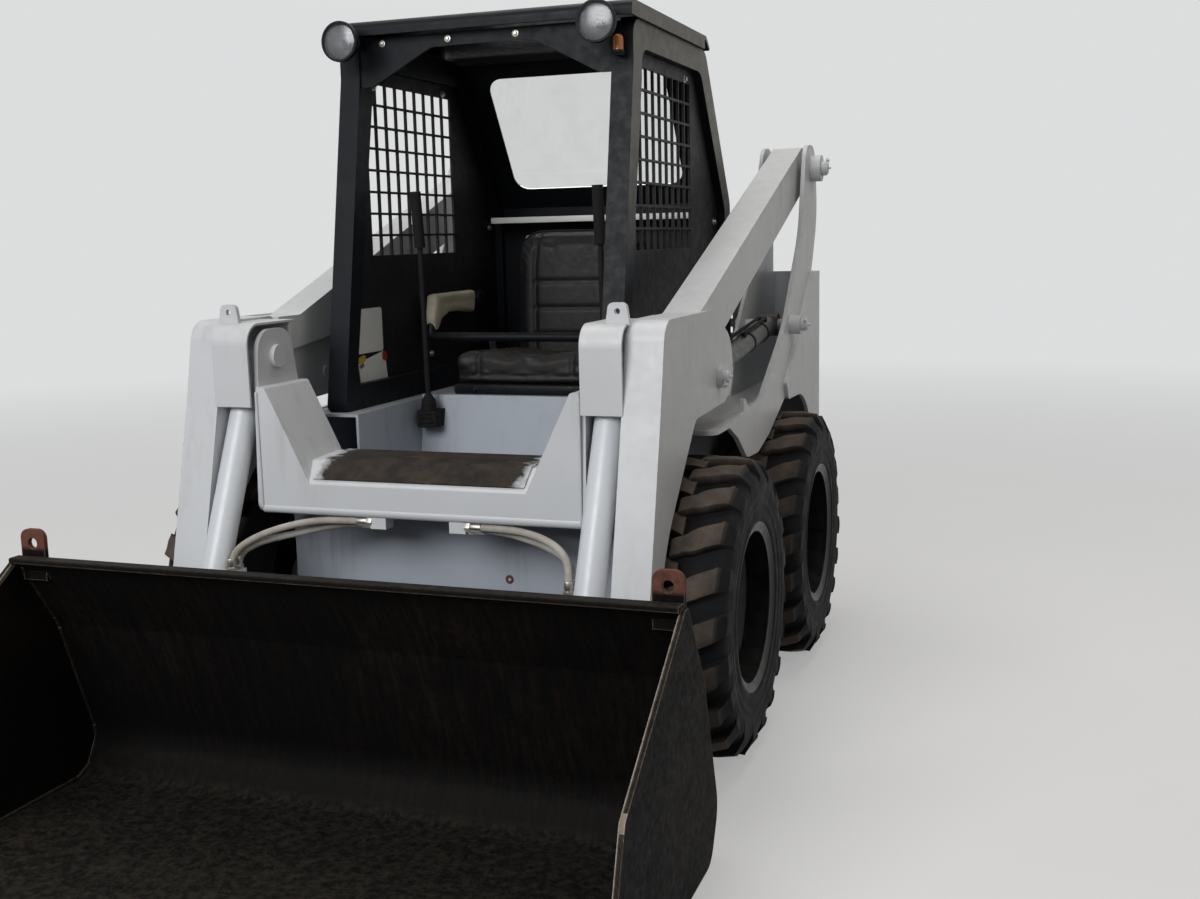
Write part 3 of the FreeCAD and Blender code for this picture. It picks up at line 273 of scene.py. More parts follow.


# %% [markdown]
# ## Paint that has worked
# Most of the machine is sprayed steel. Sprayed enamel is smooth and slightly orange-peeled.
# After some years it is blotched, dusty on top, streaked below seams and chipped along its
# edges, where the steel has turned brown. One function makes them all, and the numbers say
# how hard each part's life has been. The darker frame paint is painted shade on white paint.

# %% Worn paint
RUBBED_EDGE = 0.003
OLD_PRIMER = (0.05, 0.047, 0.044)


def worn_paint(name, colour, roughness=0.38, stain=0.35, dust=0.35, chips=0.5, bare=RUST, gloss=0.5):
    f = Finish(name)
    cloudy = f.noise(2.3, 5.0)
    fine = f.noise(38.0, 5.0, 0.6)
    speck = f.noise(150.0, 3.0, 0.6)
    runs = f.noise(1.0, 4.0, 0.6, at=f.stretched(21.0, 21.0, 1.9))
    tone = f.colours(f.spread(cloudy, 0.35, 0.68), colour, shade(colour, 0.90))
    soiled = f.product(f.spread(runs, 0.52, 0.80), f.spread(cloudy, 0.42, 0.62, 0.0, stain))
    stained = f.colours(soiled, tone, GRIME)
    settled = f.product(f.facing_up(0.45, 0.98), f.spread(fine, 0.30, 0.72, dust * 0.35, dust))
    dusty = f.colours(settled, stained, DUST)
    rubbed = f.product(f.edges(RUBBED_EDGE), f.spread(fine, 0.47, 0.62, 0.0, chips))
    pits = f.product(f.spread(speck, 0.70, 0.76), f.spread(cloudy, 0.50, 0.60, 0.0, chips))
    worn = f.colours(f.calc("ADD", rubbed, pits), dusty, bare)
    f.set(Base_Color=worn, Roughness=f.spread(fine, 0.30, 0.75, roughness - 0.06, roughness + 0.16),
          Specular_IOR_Level=gloss)
    f.relief(f.calc("ADD", f.spread(fine, 0.2, 0.8, 0.0, 0.45), f.spread(speck, 0.70, 0.76, 0.4, 0.0)),
             0.10, 0.0012, rounded=RUBBED_EDGE * 0.6)
    return f


def taupe_side_faces(f, pale, from_x):
    """Lays a pale taupe colour over the outer side faces of a painted frame, towards its top."""
    sideways = f.spread(f.calc("ABSOLUTE", f.axis("X", f.normal)), 0.75, 0.95)
    outside = f.spread(f.calc("ABSOLUTE", f.axis("X")), from_x, from_x + 0.004)
    f.paint_over(f.product(f.product(sideways, outside), f.spread(f.axis("Z"), 1.30, 1.62)), pale)


WHITE = worn_paint("white_paint", (0.64, 0.655, 0.675), stain=0.28, dust=0.22, chips=0.55, gloss=0.4)
# Frame paint is the same white paint made darker and bluer: painted shade for the chassis front and footwell,
# which sit in shadow under the crossmember.
PAINTED_SHADE_WHITE = worn_paint("frame_paint", (0.42, 0.455, 0.515), 0.42, stain=0.6, dust=0.45, chips=0.7, gloss=0.35)
CAB_BLACK = worn_paint("cab_black", (0.0065, 0.008, 0.011), 0.42, stain=0.15, dust=0.035, chips=0.25,
                       bare=OLD_PRIMER, gloss=0.14)
taupe_side_faces(CAB_BLACK, (0.150, 0.143, 0.126), 0.425)
CAB_GREY = worn_paint("cab_side_grey", (0.012, 0.012, 0.014), 0.5, stain=0.3, dust=0.15, chips=0.3, gloss=0.2)
RIM = worn_paint("rim_black", (0.005, 0.0055, 0.007), 0.32, stain=0.3, dust=0.06, chips=0.2,
                 bare=OLD_PRIMER, gloss=0.25)
CYLINDER_GREY = worn_paint("cylinder_grey", (0.024, 0.023, 0.021), stain=0.4, dust=0.18, chips=0.25, gloss=0.35)
CYLINDER_WHITE = worn_paint("cylinder_white", (0.65, 0.675, 0.71), 0.30, stain=0.15, dust=0.15, chips=0.25)
IRON = worn_paint("engine_iron", (0.085, 0.088, 0.09), 0.55, stain=0.8, dust=0.6, chips=0.3)
BLANK_PLATE = worn_paint("blank_plate", (0.80, 0.80, 0.76), 0.42, stain=0.5, dust=0.05, chips=0.25,
                         bare=(0.30, 0.28, 0.24))
RUSTED = worn_paint("rusted_iron", (0.12, 0.045, 0.02), 0.8, stain=0.8, dust=0.2, chips=0.1)
YELLOW = worn_paint("yellow_trim", (0.62, 0.40, 0.03), stain=0.4, dust=0.2, chips=0.2)
RED = worn_paint("red_trim", (0.42, 0.03, 0.02), stain=0.4, dust=0.2, chips=0.2)
print("paints made", 12)

# %% [markdown]
# ## Bucket steel
# The bucket was once black. Gravel has scoured it along its length, so the floor and the lip
# show brown steel in long scratches, and the paint that is left is dull. Scratches follow the
# digging direction, which is Y, so the noise is stretched along Y on the floor. Fine pits give
# it the look of scaled plate.

# %% Bucket and edge
LUG_RUST = (0.150, 0.064, 0.046)


def scoured_steel(name, paint, bare, bright, cover, dull=0.0, rusty_above=None):
    f = Finish(name)
    cloudy = f.noise(1.7, 6.0, 0.6)
    scratch = f.noise(1.0, 5.0, 0.65, at=f.stretched(75.0, 5.0, 9.0))
    scale = f.noise(55.0, 5.0, 0.7)
    pits = f.noise(170.0, 3.0, 0.6)
    scoured = f.product(f.spread(scratch, 0.45, 0.78), f.spread(cloudy, 0.36, 0.62, 0.15, 1.0))
    patches = f.product(f.spread(scale, 0.35, 0.70), f.spread(cloudy, cover, cover + 0.14))
    marked = f.colours(f.product(scoured, 0.55), f.colours(patches, paint, bare), shade(bare, 2.1))
    settled = f.product(f.facing_up(0.3, 0.98), f.spread(scale, 0.4, 0.75, 0.01, 0.10))
    # Rubbed edges take the bright colour: worn steel, and on the bucket partly a painted highlight along the
    # lip.
    rubbed = f.product(f.edges(0.005), f.spread(scale, 0.35, 0.60, 0.35, 1.0))
    worn = f.colours(rubbed, f.colours(settled, marked, DUST), bright)
    if rusty_above:
        above = f.spread(f.axis("Z"), rusty_above, rusty_above + 0.010)
        worn = f.colours(f.product(above, f.spread(scale, 0.30, 0.60, 0.45, 1.0)), worn, LUG_RUST)
    f.set(Base_Color=worn, Metallic=f.spread(scratch, 0.45, 0.80, 0.15 - dull * 0.5, 0.7 - dull * 1.6),
          Roughness=f.spread(scale, 0.30, 0.72, 0.45 + dull * 0.5, 0.75 + dull * 0.4), Specular_IOR_Level=0.06)
    f.relief(f.calc("ADD", f.spread(scale, 0.25, 0.75, 0.0, 0.6), f.spread(pits, 0.35, 0.7, 0.0, 0.4)),
             0.30, 0.002, rounded=0.0025)
    return f


# The bucket's pale brown edge colour is worn steel and partly a painted highlight along its lip.
BUCKET = scoured_steel("bucket_steel", (0.0040, 0.0037, 0.0037), (0.012, 0.0085, 0.0065), (0.26, 0.20, 0.155),
                       0.55, dull=0.22, rusty_above=0.632)
EDGE = scoured_steel("edge_steel", (0.11, 0.095, 0.08), (0.20, 0.15, 0.11), (0.55, 0.52, 0.48), 0.38)
print("bucket finishes made", 2)

# %% [markdown]
# ## Rubber, vinyl and glass
# Tread rubber is matt and holds pale dust in its grooves, while the tops of its bars have
# turned brown. Vinyl has a fine grain and a soft sheen. The hose sleeve is woven nylon, so a
# Wave texture along two axes stands for its yarns. Lamps are clear glass over a bright bowl.

# %% Rubber
def dusty_rubber(name, colour, dust_colour, dust, tread=None):
    """Matt rubber; tread gives the axles (y, z), the radii over which bars turn brown, and their colour."""
    f = Finish(name)
    cloudy = f.noise(5.0, 5.0)
    grain = f.noise(260.0, 3.0, 0.7)
    smear = f.noise(22.0, 5.0, 0.65)
    tone = f.colours(f.spread(smear, 0.35, 0.7), colour, shade(colour, 1.7))
    settled = f.product(f.spread(smear, 0.40, 0.72), f.spread(cloudy, 0.35, 0.65, dust * 0.4, dust))
    dusty = f.colours(settled, tone, dust_colour)
    if tread:
        axles, low, high, worn = tread
        flat = f.node("VectorMath", operation="MULTIPLY")
        f.link(f.place, flat.inputs[0])
        flat.inputs[1].default_value = (0.0, 1.0, 1.0)
        reach = None
        for y, z in axles:
            away = f.node("VectorMath", operation="DISTANCE")
            f.link(flat.outputs["Vector"], away.inputs[0])
            away.inputs[1].default_value = (0.0, y, z)
            reach = f.calc("MINIMUM", reach, away.outputs["Value"]) if reach else away.outputs["Value"]
        dusty = f.colours(f.product(f.spread(reach, low, high), f.spread(smear, 0.30, 0.62, 0.45, 1.0)),
                          tone, worn)
    f.set(Base_Color=f.colours(f.product(f.edges(0.003), 0.5), dusty, shade(dust_colour, 0.8)),
          Roughness=f.spread(smear, 0.3, 0.7, 0.6, 0.88), Specular_IOR_Level=0.15)
    f.relief(f.calc("ADD", f.spread(grain, 0.3, 0.7, 0.0, 0.4), f.spread(smear, 0.3, 0.7, 0.0, 0.5)),
             0.25, 0.0015, rounded=0.002)
    return f


def feathered_ends(f, colour, from_x, to_x):
    """Wears the coating through to another colour towards both ends of a long piece."""
    ragged = f.product(f.noise(30.0, 5.0, 0.5), 0.10)
    f.paint_over(f.spread(f.calc("ADD", ragged, f.calc("ABSOLUTE", f.axis("X"))), from_x, to_x), colour)


AXLES = ((0.0, 0.3875), (0.902, 0.3875))
TREAD = dusty_rubber("rubber_tyre", (0.0050, 0.0053, 0.0062), (0.050, 0.039, 0.031), 0.14,
                     tread=(AXLES, 0.366, 0.385, (0.105, 0.082, 0.067)))
BOOT = dusty_rubber("lever_black", (0.008, 0.008, 0.009), (0.05, 0.047, 0.044), 0.2)
GRIT = dusty_rubber("tread_grit", (0.017, 0.0145, 0.013), (0.085, 0.064, 0.046), 0.8)
feathered_ends(GRIT, (0.55, 0.57, 0.59), 0.315, 0.345)


# %% Vinyl and foam skin
def grained_vinyl(name, colour, soil, roughness=0.45):
    f = Finish(name)
    cells = f.node("TexVoronoi", feature="DISTANCE_TO_EDGE")
    f.link(f.place, cells.inputs["Vector"])
    cells.inputs["Scale"].default_value = 420.0
    grain = f.spread(cells.outputs["Distance"], 0.0, 0.22)
    cloudy = f.noise(7.0, 5.0, 0.6)
    fine = f.noise(60.0, 4.0, 0.6)
    soiled = f.product(f.spread(cloudy, 0.42, 0.68), f.spread(fine, 0.35, 0.7, 0.25, 0.75))
    dusty = f.colours(f.product(f.facing_up(0.3, 1.0), 0.08), f.colours(soiled, colour, soil), DUST)
    f.set(Base_Color=dusty, Roughness=f.spread(fine, 0.3, 0.7, roughness - 0.05, roughness + 0.18),
          Specular_IOR_Level=0.3)
    f.relief(f.calc("ADD", f.product(grain, 0.5), f.spread(fine, 0.3, 0.7, 0.0, 0.4)), 0.28, 0.0008)
    return f


VINYL = grained_vinyl("seat_vinyl", (0.0062, 0.0062, 0.0072), (0.017, 0.016, 0.0145))
PAD = grained_vinyl("bar_pad", (0.50, 0.45, 0.34), (0.20, 0.165, 0.115), 0.55)


# %% Woven sleeve and strap
WAVES_PER_PITCH = 0.314


def woven(name, colour, soil, pitch):
    f = Finish(name)
    waves = []
    for direction in "XZ":
        wave = f.node("TexWave", bands_direction=direction)
        f.link(f.place, wave.inputs["Vector"])
        wave.inputs["Scale"].default_value = WAVES_PER_PITCH / pitch
        waves.append(wave.outputs["Fac"])
    yarn = f.calc("MAXIMUM", *waves)
    soiled = f.colours(f.spread(f.noise(9.0, 5.0, 0.6), 0.42, 0.70, 0.0, 0.8), colour, soil)
    f.set(Base_Color=f.colours(f.spread(yarn, 0.2, 0.9), shade(soil, 0.9), soiled), Roughness=0.82,
          Sheen_Weight=0.25)
    f.relief(yarn, 0.35, 0.0008)
    return f


SLEEVE = woven("hose_sleeve", (0.60, 0.575, 0.52), (0.20, 0.17, 0.13), 0.0016)
STRAP = woven("belt_webbing", (0.085, 0.125, 0.20), (0.06, 0.06, 0.065), 0.0018)


# %% Polished rods and glass
def polished(name, colour, roughness):
    f = Finish(name)
    smear = f.noise(18.0, 4.0, at=f.stretched(1.0, 1.0, 6.0))
    f.set(Base_Color=f.colours(f.spread(smear, 0.45, 0.75), colour, shade(colour, 0.62)), Metallic=1.0,
          Roughness=f.spread(smear, 0.3, 0.75, roughness, roughness + 0.14))
    f.relief(f.noise(220.0), 0.03, 0.0004)
    return f


def clear_glass(name, colour, roughness, weight, haze):
    f = Finish(name)
    film = f.noise(12.0, 4.0)
    f.set(Base_Color=f.colours(f.spread(film, 0.45, 0.8, 0.0, haze), colour, DUST), Transmission_Weight=weight,
          Roughness=f.spread(film, 0.4, 0.8, roughness, roughness + 0.12), IOR=1.46)
    f.relief(film, 0.02, 0.0005)
    return f


CHROME = polished("rod_chrome", (0.72, 0.73, 0.74), 0.10)
ZINC = polished("zinc_hardware", (0.50, 0.48, 0.43), 0.34)
REFLECTOR = polished("lamp_mirror", (0.34, 0.35, 0.37), 0.30)
WINDOW = clear_glass("window_glass", (0.94, 0.96, 0.95), 0.01, 0.97, 0.10)
LENS = clear_glass("lamp_glass", (0.72, 0.74, 0.76), 0.16, 0.92, 0.30)
AMBER = clear_glass("lens_amber", (0.85, 0.30, 0.02), 0.12, 0.45, 0.25)
RED_LENS = clear_glass("lens_red", (0.55, 0.02, 0.012), 0.15, 0.40, 0.25)
print("metals and glass made", 7)

# %% [markdown]
# ## Which finish goes where
# The frame's record names a material slot for every node. Each slot gets its finish here, so
# the steel that stays as it is in the engineering model is painted in one pass. A finish that
# has no slot of its own is booked under the nearest one.

# %% Paint the frame
for finish, slot in ((ZINC, "rod_chrome"), (REFLECTOR, "rod_chrome"), (RED_LENS, "lens_amber"),
                     (YELLOW, "lens_amber"), (RED, "lens_amber"), (BLANK_PLATE, "white_paint"),
                     (RUSTED, "engine_iron"), (STRAP, "seat_vinyl")):
    finish.slot = slot

FINISHES = {f.slot: f for f in (WHITE, PAINTED_SHADE_WHITE, CAB_BLACK, CAB_GREY, BUCKET, EDGE, TREAD, RIM, CYLINDER_GREY,
                                CYLINDER_WHITE, CHROME, GRIT, SLEEVE, AMBER, WINDOW, VINYL, BOOT, IRON)}
FINISHES["lamp_glass"] = FINISHES["bar_pad"] = CAB_BLACK

for part in frame["record"]["subparts"]:
    steel = NODES[part["node"]].data
    steel.materials.clear()
    steel.materials.append(FINISHES[part["material_slot"]].material)

# %% [markdown]
# ## Making and placing a piece
# Every new piece is a bmesh that is shaped by operators in its final place, cleaned, given a
# finish and told which body it rides on. Parts with flat faces and crisp corners keep them:
# only faces that meet at a shallow angle are shaded smooth.

# %% From bmesh to piece
SMOOTH_BELOW = 38.0


def bevelled(bm, edges, offset, segments=2):
    bmesh.ops.bevel(bm, geom=list(edges), offset=offset, segments=segments, profile=0.5, affect="EDGES",
                    material=-1)


def sharp_edges(edges, degrees):
    """The edges at which two faces meet at more than an angle."""
    return [e for e in edges if len(e.link_faces) == 2 and e.calc_face_angle() > math.radians(degrees)]


def edges_at(verts):
    return {e for v in verts for e in v.link_edges}


def points_of(made):
    """The points among what an operator has made."""
    return [g for g in made["geom"] if isinstance(g, bmesh.types.BMVert)]


def middle_of(node):
    low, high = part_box(node)
    return (low + high) / 2


def add_piece(name, bm, finish, body="chassis"):
    """Turns a bmesh into a finished object that moves with a body."""
    bmesh.ops.remove_doubles(bm, verts=bm.verts, dist=1e-6)
    bmesh.ops.recalc_face_normals(bm, faces=bm.faces)
    for face in bm.faces:
        face.smooth = True
    for edge in sharp_edges(bm.edges, SMOOTH_BELOW):
        edge.smooth = False
    mesh = bpy.data.meshes.new(name)
    bm.to_mesh(mesh)
    bm.free()
    mesh.materials.append(finish.material)
    made = shown(name, mesh)
    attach(made, body)
    return made


def turned_to(axis):
    """Rotation that takes +Z to the axis."""
    return Vector((0, 0, 1)).rotation_difference(Vector(axis)).to_matrix().to_4x4()


def add_rod(bm, start, end, radius, sides=24, bevel=0.0):
    """Closed round bar between two points, its rims bevelled."""
    start = Vector(start)
    run = Vector(end) - start
    place = Matrix.Translation(start + run / 2) @ turned_to(run)
    made = bmesh.ops.create_cone(bm, cap_ends=True, segments=sides, radius1=radius, radius2=radius,
                                 depth=run.length, matrix=place)
    if bevel:
        bevelled(bm, (e for e in edges_at(made["verts"]) if any(len(f.verts) > 4 for f in e.link_faces)), bevel)


def add_box(bm, low, high, bevel=0.0, turn=None):
    """Box between two corners, turned about its middle, its edges bevelled."""
    low, high = Vector(low), Vector(high)
    size = Matrix.Diagonal(high - low).to_4x4()
    place = Matrix.Translation((low + high) / 2) @ (turn or Matrix.Identity(4)) @ size
    verts = bmesh.ops.create_cube(bm, size=1.0, matrix=place)["verts"]
    if bevel:
        bevelled(bm, edges_at(verts), bevel)
    return verts


def add_bolt(bm, at, axis, size):
    """Hexagon head on its washer, standing on a surface; size is across the corners."""
    at, axis = Vector(at), Vector(axis).normalized()
    add_rod(bm, at - axis * size * 0.1, at + axis * size * 0.14, size * 0.78, sides=20, bevel=size * 0.03)
    add_rod(bm, at, at + axis * size * 0.62, size * 0.5, sides=6, bevel=size * 0.04)


def spun(bm, profile, centre, axis, steps):
    """Turns a line of (along, radius) points about an axis; it is closed unless it starts on the axis."""
    centre, axis = Vector(centre), Vector(axis).normalized()
    outward = axis.orthogonal().normalized()
    corners = [bm.verts.new(centre + axis * along + outward * radius) for along, radius in profile]
    ends = corners[:1] if profile[0][1] else []
    line = [bm.edges.new(pair) for pair in zip(corners, corners[1:] + ends)]
    bmesh.ops.spin(bm, geom=corners + line, cent=centre, axis=axis, dvec=(0, 0, 0), angle=math.tau,
                   steps=steps, use_merge=True, use_duplicate=False)
    bmesh.ops.remove_doubles(bm, verts=bm.verts, dist=1e-6)


print("mesh helpers ready")

# %% [markdown]
# ## Treaded tyres
# The tyres carry the whole picture from the side: heavy bars that start on each shoulder and
# reach just past the middle, staggered left and right, over a smooth carcass with ribbed
# walls. A single bar is made flat, as if the tread were unrolled, and is then wrapped round
# the wheel. Wrapping a finished bar is easier than carving curved bars out of a ring.

# %% Tread sizes
TYRE_LOW, TYRE_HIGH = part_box("tyre_front_left")
TYRE_R = (TYRE_HIGH.z - TYRE_LOW.z) / 2
RIM_SEAT_R = 0.2083
BARS = 20
BAR_DEEP = 0.026
BAR_REACH = 0.058
BAR_INNER, BAR_OUTER = -0.012, 0.1312
BAR_WIDTH, BAR_FLARE = 0.045, 0.014
BAR_START, BAR_TRAIL = -0.035, 0.062
BAR_ROOT, BAR_ROOT_WIDER = 0.012, 1.16
CORNER_R = TYRE_R / math.cos(math.pi / (2 * BARS))
STAND_TURN = math.asin(BAR_REACH / CORNER_R) - math.pi / (2 * BARS)
TREAD_LINE = ((0.0, TYRE_R - 0.0004), (0.060, TYRE_R - 0.0004), (0.109, TYRE_R - 0.0085),
              (0.131, TYRE_R - 0.047))


def tread_radius(across):
    """Radius of the bars' tops at a distance from the tyre's middle."""
    across = abs(across)
    for (x0, r0), (x1, r1) in zip(TREAD_LINE, TREAD_LINE[1:]):
        if across <= x1:
            return r0 + (r1 - r0) * (across - x0) / (x1 - x0)
    return TREAD_LINE[-1][1]


print("tyre radius", round(TYRE_R, 4))


# %% One bar, unrolled and wrapped
def add_bar(bm, middle_angle, side):
    """Bar from a shoulder to past the middle; its inner end is narrower and trails."""
    grid = bmesh.ops.create_grid(bm, x_segments=12, y_segments=3, size=0.5)
    verts = grid["verts"]
    for v in verts:
        along = v.co.x + 0.5
        step = min(max((along - 0.22) / 0.16, 0.0), 1.0)
        wide = BAR_WIDTH + BAR_FLARE * step * step * (3 - 2 * step)
        v.co = Vector((BAR_INNER + (BAR_OUTER - BAR_INNER) * along,
                       v.co.y * wide + BAR_START + BAR_TRAIL * along, 0.0))
    faces = {f for v in verts for f in v.link_faces}
    raised = bmesh.ops.extrude_face_region(bm, geom=list(faces))
    top = points_of(raised)
    for v in top:
        v.co.z = 1.0
    whole = list(set(verts) | set(top))
    for v in whole:
        across = v.co.x
        reach = tread_radius(across) - (0.0 if v.co.z > 0.5 else BAR_DEEP + BAR_ROOT)
        taper = 1.0 if v.co.z > 0.5 else BAR_ROOT_WIDER
        angle = middle_angle + v.co.y * taper / TYRE_R
        v.co = Vector((side * across, math.sin(angle) * reach, math.cos(angle) * reach))
    bevelled(bm, (e for e in sharp_edges(edges_at(top), 50) if all(w in top for w in e.verts)), 0.0035)


# %% The carcass and its ribbed walls
WALL_LINE = ((0.112, RIM_SEAT_R), (0.118, 0.214), (0.1275, 0.226), (0.1290, 0.236), (0.1262, 0.242),
             (0.1268, 0.262), (0.1292, 0.266), (0.1292, 0.270), (0.1278, 0.274), (0.1302, 0.288),
             (0.1316, 0.294), (0.1316, 0.299), (0.1300, 0.304), (0.1300, 0.322), (0.1245, 0.338),
             (0.110, 0.350), (0.060, 0.3605), (0.0, 0.3615))
INNER_LINE = ((-0.088, RIM_SEAT_R), (-0.106, 0.300), (-0.104, 0.330))


def tyre_piece(end, side_name, side):
    bm = bmesh.new()
    outside = list(WALL_LINE) + [(-across, radius) for across, radius in reversed(WALL_LINE[:-1])]
    inside = list(INNER_LINE) + [(-across, radius) for across, radius in reversed(INNER_LINE)]
    spun(bm, outside + inside, (0, 0, 0), (1, 0, 0), 96)
    for i in range(BARS):
        step = math.tau / BARS
        add_bar(bm, STAND_TURN + i * step, side)
        add_bar(bm, STAND_TURN + (i + 0.5) * step, -side)
    tyre = f"tyre_{end}_{side_name}"
    bmesh.ops.transform(bm, matrix=Matrix.Translation(middle_of(tyre)), verts=bm.verts)
    made = add_piece(f"treaded_{tyre}", bm, TREAD, f"wheel_{end}_{side_name}")
    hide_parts(tyre)
    return made


for end in ("front", "rear"):
    for side_name, side in SIDES:
        made = tyre_piece(end, side_name, side)
print("tyre faces", len(made.data.polygons))

# %% [markdown]
# ## Rims
# Seen from the side a wheel is mostly the dark dish of its rim. What makes it read as a wheel
# is small: a rolled bead round the rim, eight nuts on their studs, a cap over the hub and the
# valve. They are all black, so they work by catching light.

# %% Wheel trim
HUB_FACE = 0.062
NUTS, NUT_CIRCLE, NUT_SIZE = 8, 0.076, 0.036
VALVE_AT = Vector((0, 0.150, 0.030))
BEAD = ((0.110, 0.196), (0.110, 0.207), (0.1195, 0.2215), (0.1245, 0.2205), (0.1255, 0.2165), (0.1165, 0.202),
        (0.1165, 0.196))
HUB_CAP = ((0.0, 0.0), (0.0, 0.050), (0.010, 0.048), (0.019, 0.038), (0.022, 0.020), (0.0225, 0.0))


def wheel_trim(end, side_name, side):
    centre = middle_of(f"tyre_{end}_{side_name}")
    out = Vector((side, 0, 0))
    bm = bmesh.new()
    for face_side in BOTH:
        spun(bm, [(along * face_side, radius) for along, radius in BEAD], centre, out, 72)
    for i in range(NUTS):
        angle = math.tau * (i + 0.5) / NUTS
        seat = centre + Vector((0, math.cos(angle), math.sin(angle))) * NUT_CIRCLE - out * (HUB_FACE + 0.001)
        add_bolt(bm, seat, out, NUT_SIZE)
    spun(bm, HUB_CAP, centre - out * (HUB_FACE - 0.030), out, 40)
    valve = centre + VALVE_AT
    add_rod(bm, valve - out * 0.040, valve - out * 0.002, 0.0045, 12, 0.001)
    add_piece(f"rim_trim_{end}_{side_name}", bm, RIM, f"wheel_{end}_{side_name}")


for end in ("front", "rear"):
    for side_name, side in SIDES:
        wheel_trim(end, side_name, side)
print("rims trimmed", 4)

# %% [markdown]
# ## Hydraulic hoses
# Two hoses a side leave a block under the crossmember, sag outwards and turn down into the
# tilt cylinder. A hose has one length and bends as one smooth curve, so each is a NURBS
# curve through a few control points. The tube is made from that curve, and pressed ferrules
# cover both of its ends.

# %% Hose routes
HOSE_D = 0.018
UPPER_ROUTE = ((0.1323, -0.346, 0.639), (0.205, -0.346, 0.639), (0.295, -0.356, 0.636),
               (0.375, -0.385, 0.620), (0.432, -0.440, 0.598), (0.455, -0.495, 0.568), (0.455, -0.495, 0.5263))
LOWER_ROUTE = ((0.1323, -0.326, 0.629), (0.205, -0.326, 0.629), (0.290, -0.330, 0.612),
               (0.362, -0.352, 0.596), (0.425, -0.412, 0.586), (0.455, -0.467, 0.564), (0.455, -0.467, 0.5263))
HOSES = (("upper", UPPER_ROUTE), ("lower", LOWER_ROUTE))


def smooth_tube(name, route, radius, along=14, around=5):
    """Mesh tube on a NURBS curve and the points that its centre line follows."""
    curve = bpy.data.curves.new(name, "CURVE")
    curve.dimensions = "3D"
    curve.resolution_u = along
    spline = curve.splines.new("NURBS")
    spline.points.add(len(route) - 1)
    for point, place in zip(spline.points, route):
        point.co = (*place, 1.0)
    spline.order_u = 3
    spline.use_endpoint_u = True
    holder = shown(name, curve)
    bpy.context.view_layer.update()
    line = [v.co.copy() for v in bpy.data.meshes.new_from_object(holder).vertices]
    curve.bevel_depth = radius
    curve.bevel_resolution = around
    curve.use_fill_caps = True
    bpy.context.view_layer.update()
    mesh = bpy.data.meshes.new_from_object(holder)
    bpy.data.objects.remove(holder)
    return mesh, line


def run_length(line):
    return sum((b - a).length for a, b in zip(line, line[1:]))


# %% Hoses and ferrules
for side_name, side in SIDES:
    for level, route in HOSES:
        placed = [(side * x, y, z) for x, y, z in route]
        mesh, line = smooth_tube(f"hose_{level}_{side_name}", placed, HOSE_D / 2)
        hose = shown(f"hose_{level}_{side_name}", mesh)
        mesh.materials.append(SLEEVE.material)
        for polygon in mesh.polygons:
            polygon.use_smooth = True
        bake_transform(hose)
        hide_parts(f"tilt_hoses_{side_name}")
        print(hose.name, "length", round(run_length(line), 4))
    bm = bmesh.new()
    for level, route in HOSES:
        start = Vector((side * route[0][0], *route[0][1:]))
        out = Vector((side, 0, 0))
        add_rod(bm, start - out * 0.004, start + out * 0.012, 0.0145, 6, 0.001)
        add_rod(bm, start + out * 0.010, start + out * 0.040, 0.0118, 20, 0.002)
    add_piece(f"hose_ferrules_{side_name}", bm, ZINC, "lift_arm")
    bm = bmesh.new()
    for level, route in HOSES:
        end = Vector((side * route[-1][0], *route[-1][1:]))
        add_rod(bm, end - Vector((0, 0, 0.002)), end + Vector((0, 0, 0.012)), 0.0138, 6, 0.001)
        add_rod(bm, end + Vector((0, 0, 0.010)), end + Vector((0, 0, 0.034)), 0.0118, 20, 0.002)
    add_piece(f"port_ferrules_{side_name}", bm, ZINC, f"tilt_barrel_{side_name}")

# %% [markdown]
# ## A padded form
# A seat is foam under vinyl: it swells between its seams and is flat only where it rests.
# The recipe starts from a slightly small solid, remeshes it evenly, inflates it as cloth with
# its resting side pinned, and limits how far a point may travel. Seams come afterwards,
# because remeshing would wash them out.

# %% Inflate and sew
VOXEL = 0.006
PRESSURE = 4.0
FRAMES = 20
FAR = 1.0


def inflated(name, bm, cap, rests):
    """Object swollen by cloth pressure; rests(co) says which points are held."""
    bmesh.ops.recalc_face_normals(bm, faces=bm.faces)
    mesh = bpy.data.meshes.new(name)
    bm.to_mesh(mesh)
    bm.free()
    pad = shown(name, mesh)
    remesh = pad.modifiers.new("even", "REMESH")
    remesh.mode = "VOXEL"
    remesh.voxel_size = VOXEL
    bpy.context.view_layer.update()
    pad.data = bpy.data.meshes.new_from_object(pad.evaluated_get(bpy.context.evaluated_depsgraph_get()))
    pad.modifiers.clear()
    start = [v.co.copy() for v in pad.data.vertices]
    held = pad.vertex_groups.new(name="held")
    held.add([i for i, co in enumerate(start) if rests(co)], 1.0, "REPLACE")
    cloth = pad.modifiers.new("foam", "CLOTH")
    cloth.settings.use_pressure = True
    cloth.settings.uniform_pressure_force = PRESSURE
    cloth.settings.vertex_group_mass = "held"
    cloth.settings.effector_weights.gravity = 0.0
    scene = bpy.context.scene
    for frame_number in range(1, FRAMES + 1):
        scene.frame_set(frame_number)
    shaped = pad.evaluated_get(bpy.context.evaluated_depsgraph_get()).to_mesh()
    swollen = [v.co.copy() for v in shaped.vertices]
    pad.modifiers.clear()
    scene.frame_set(1)
    for v, before, after in zip(pad.data.vertices, start, swollen):
        move = after - before
        v.co = before + move * min(1.0, cap / max(move.length, 1e-9))
    return pad


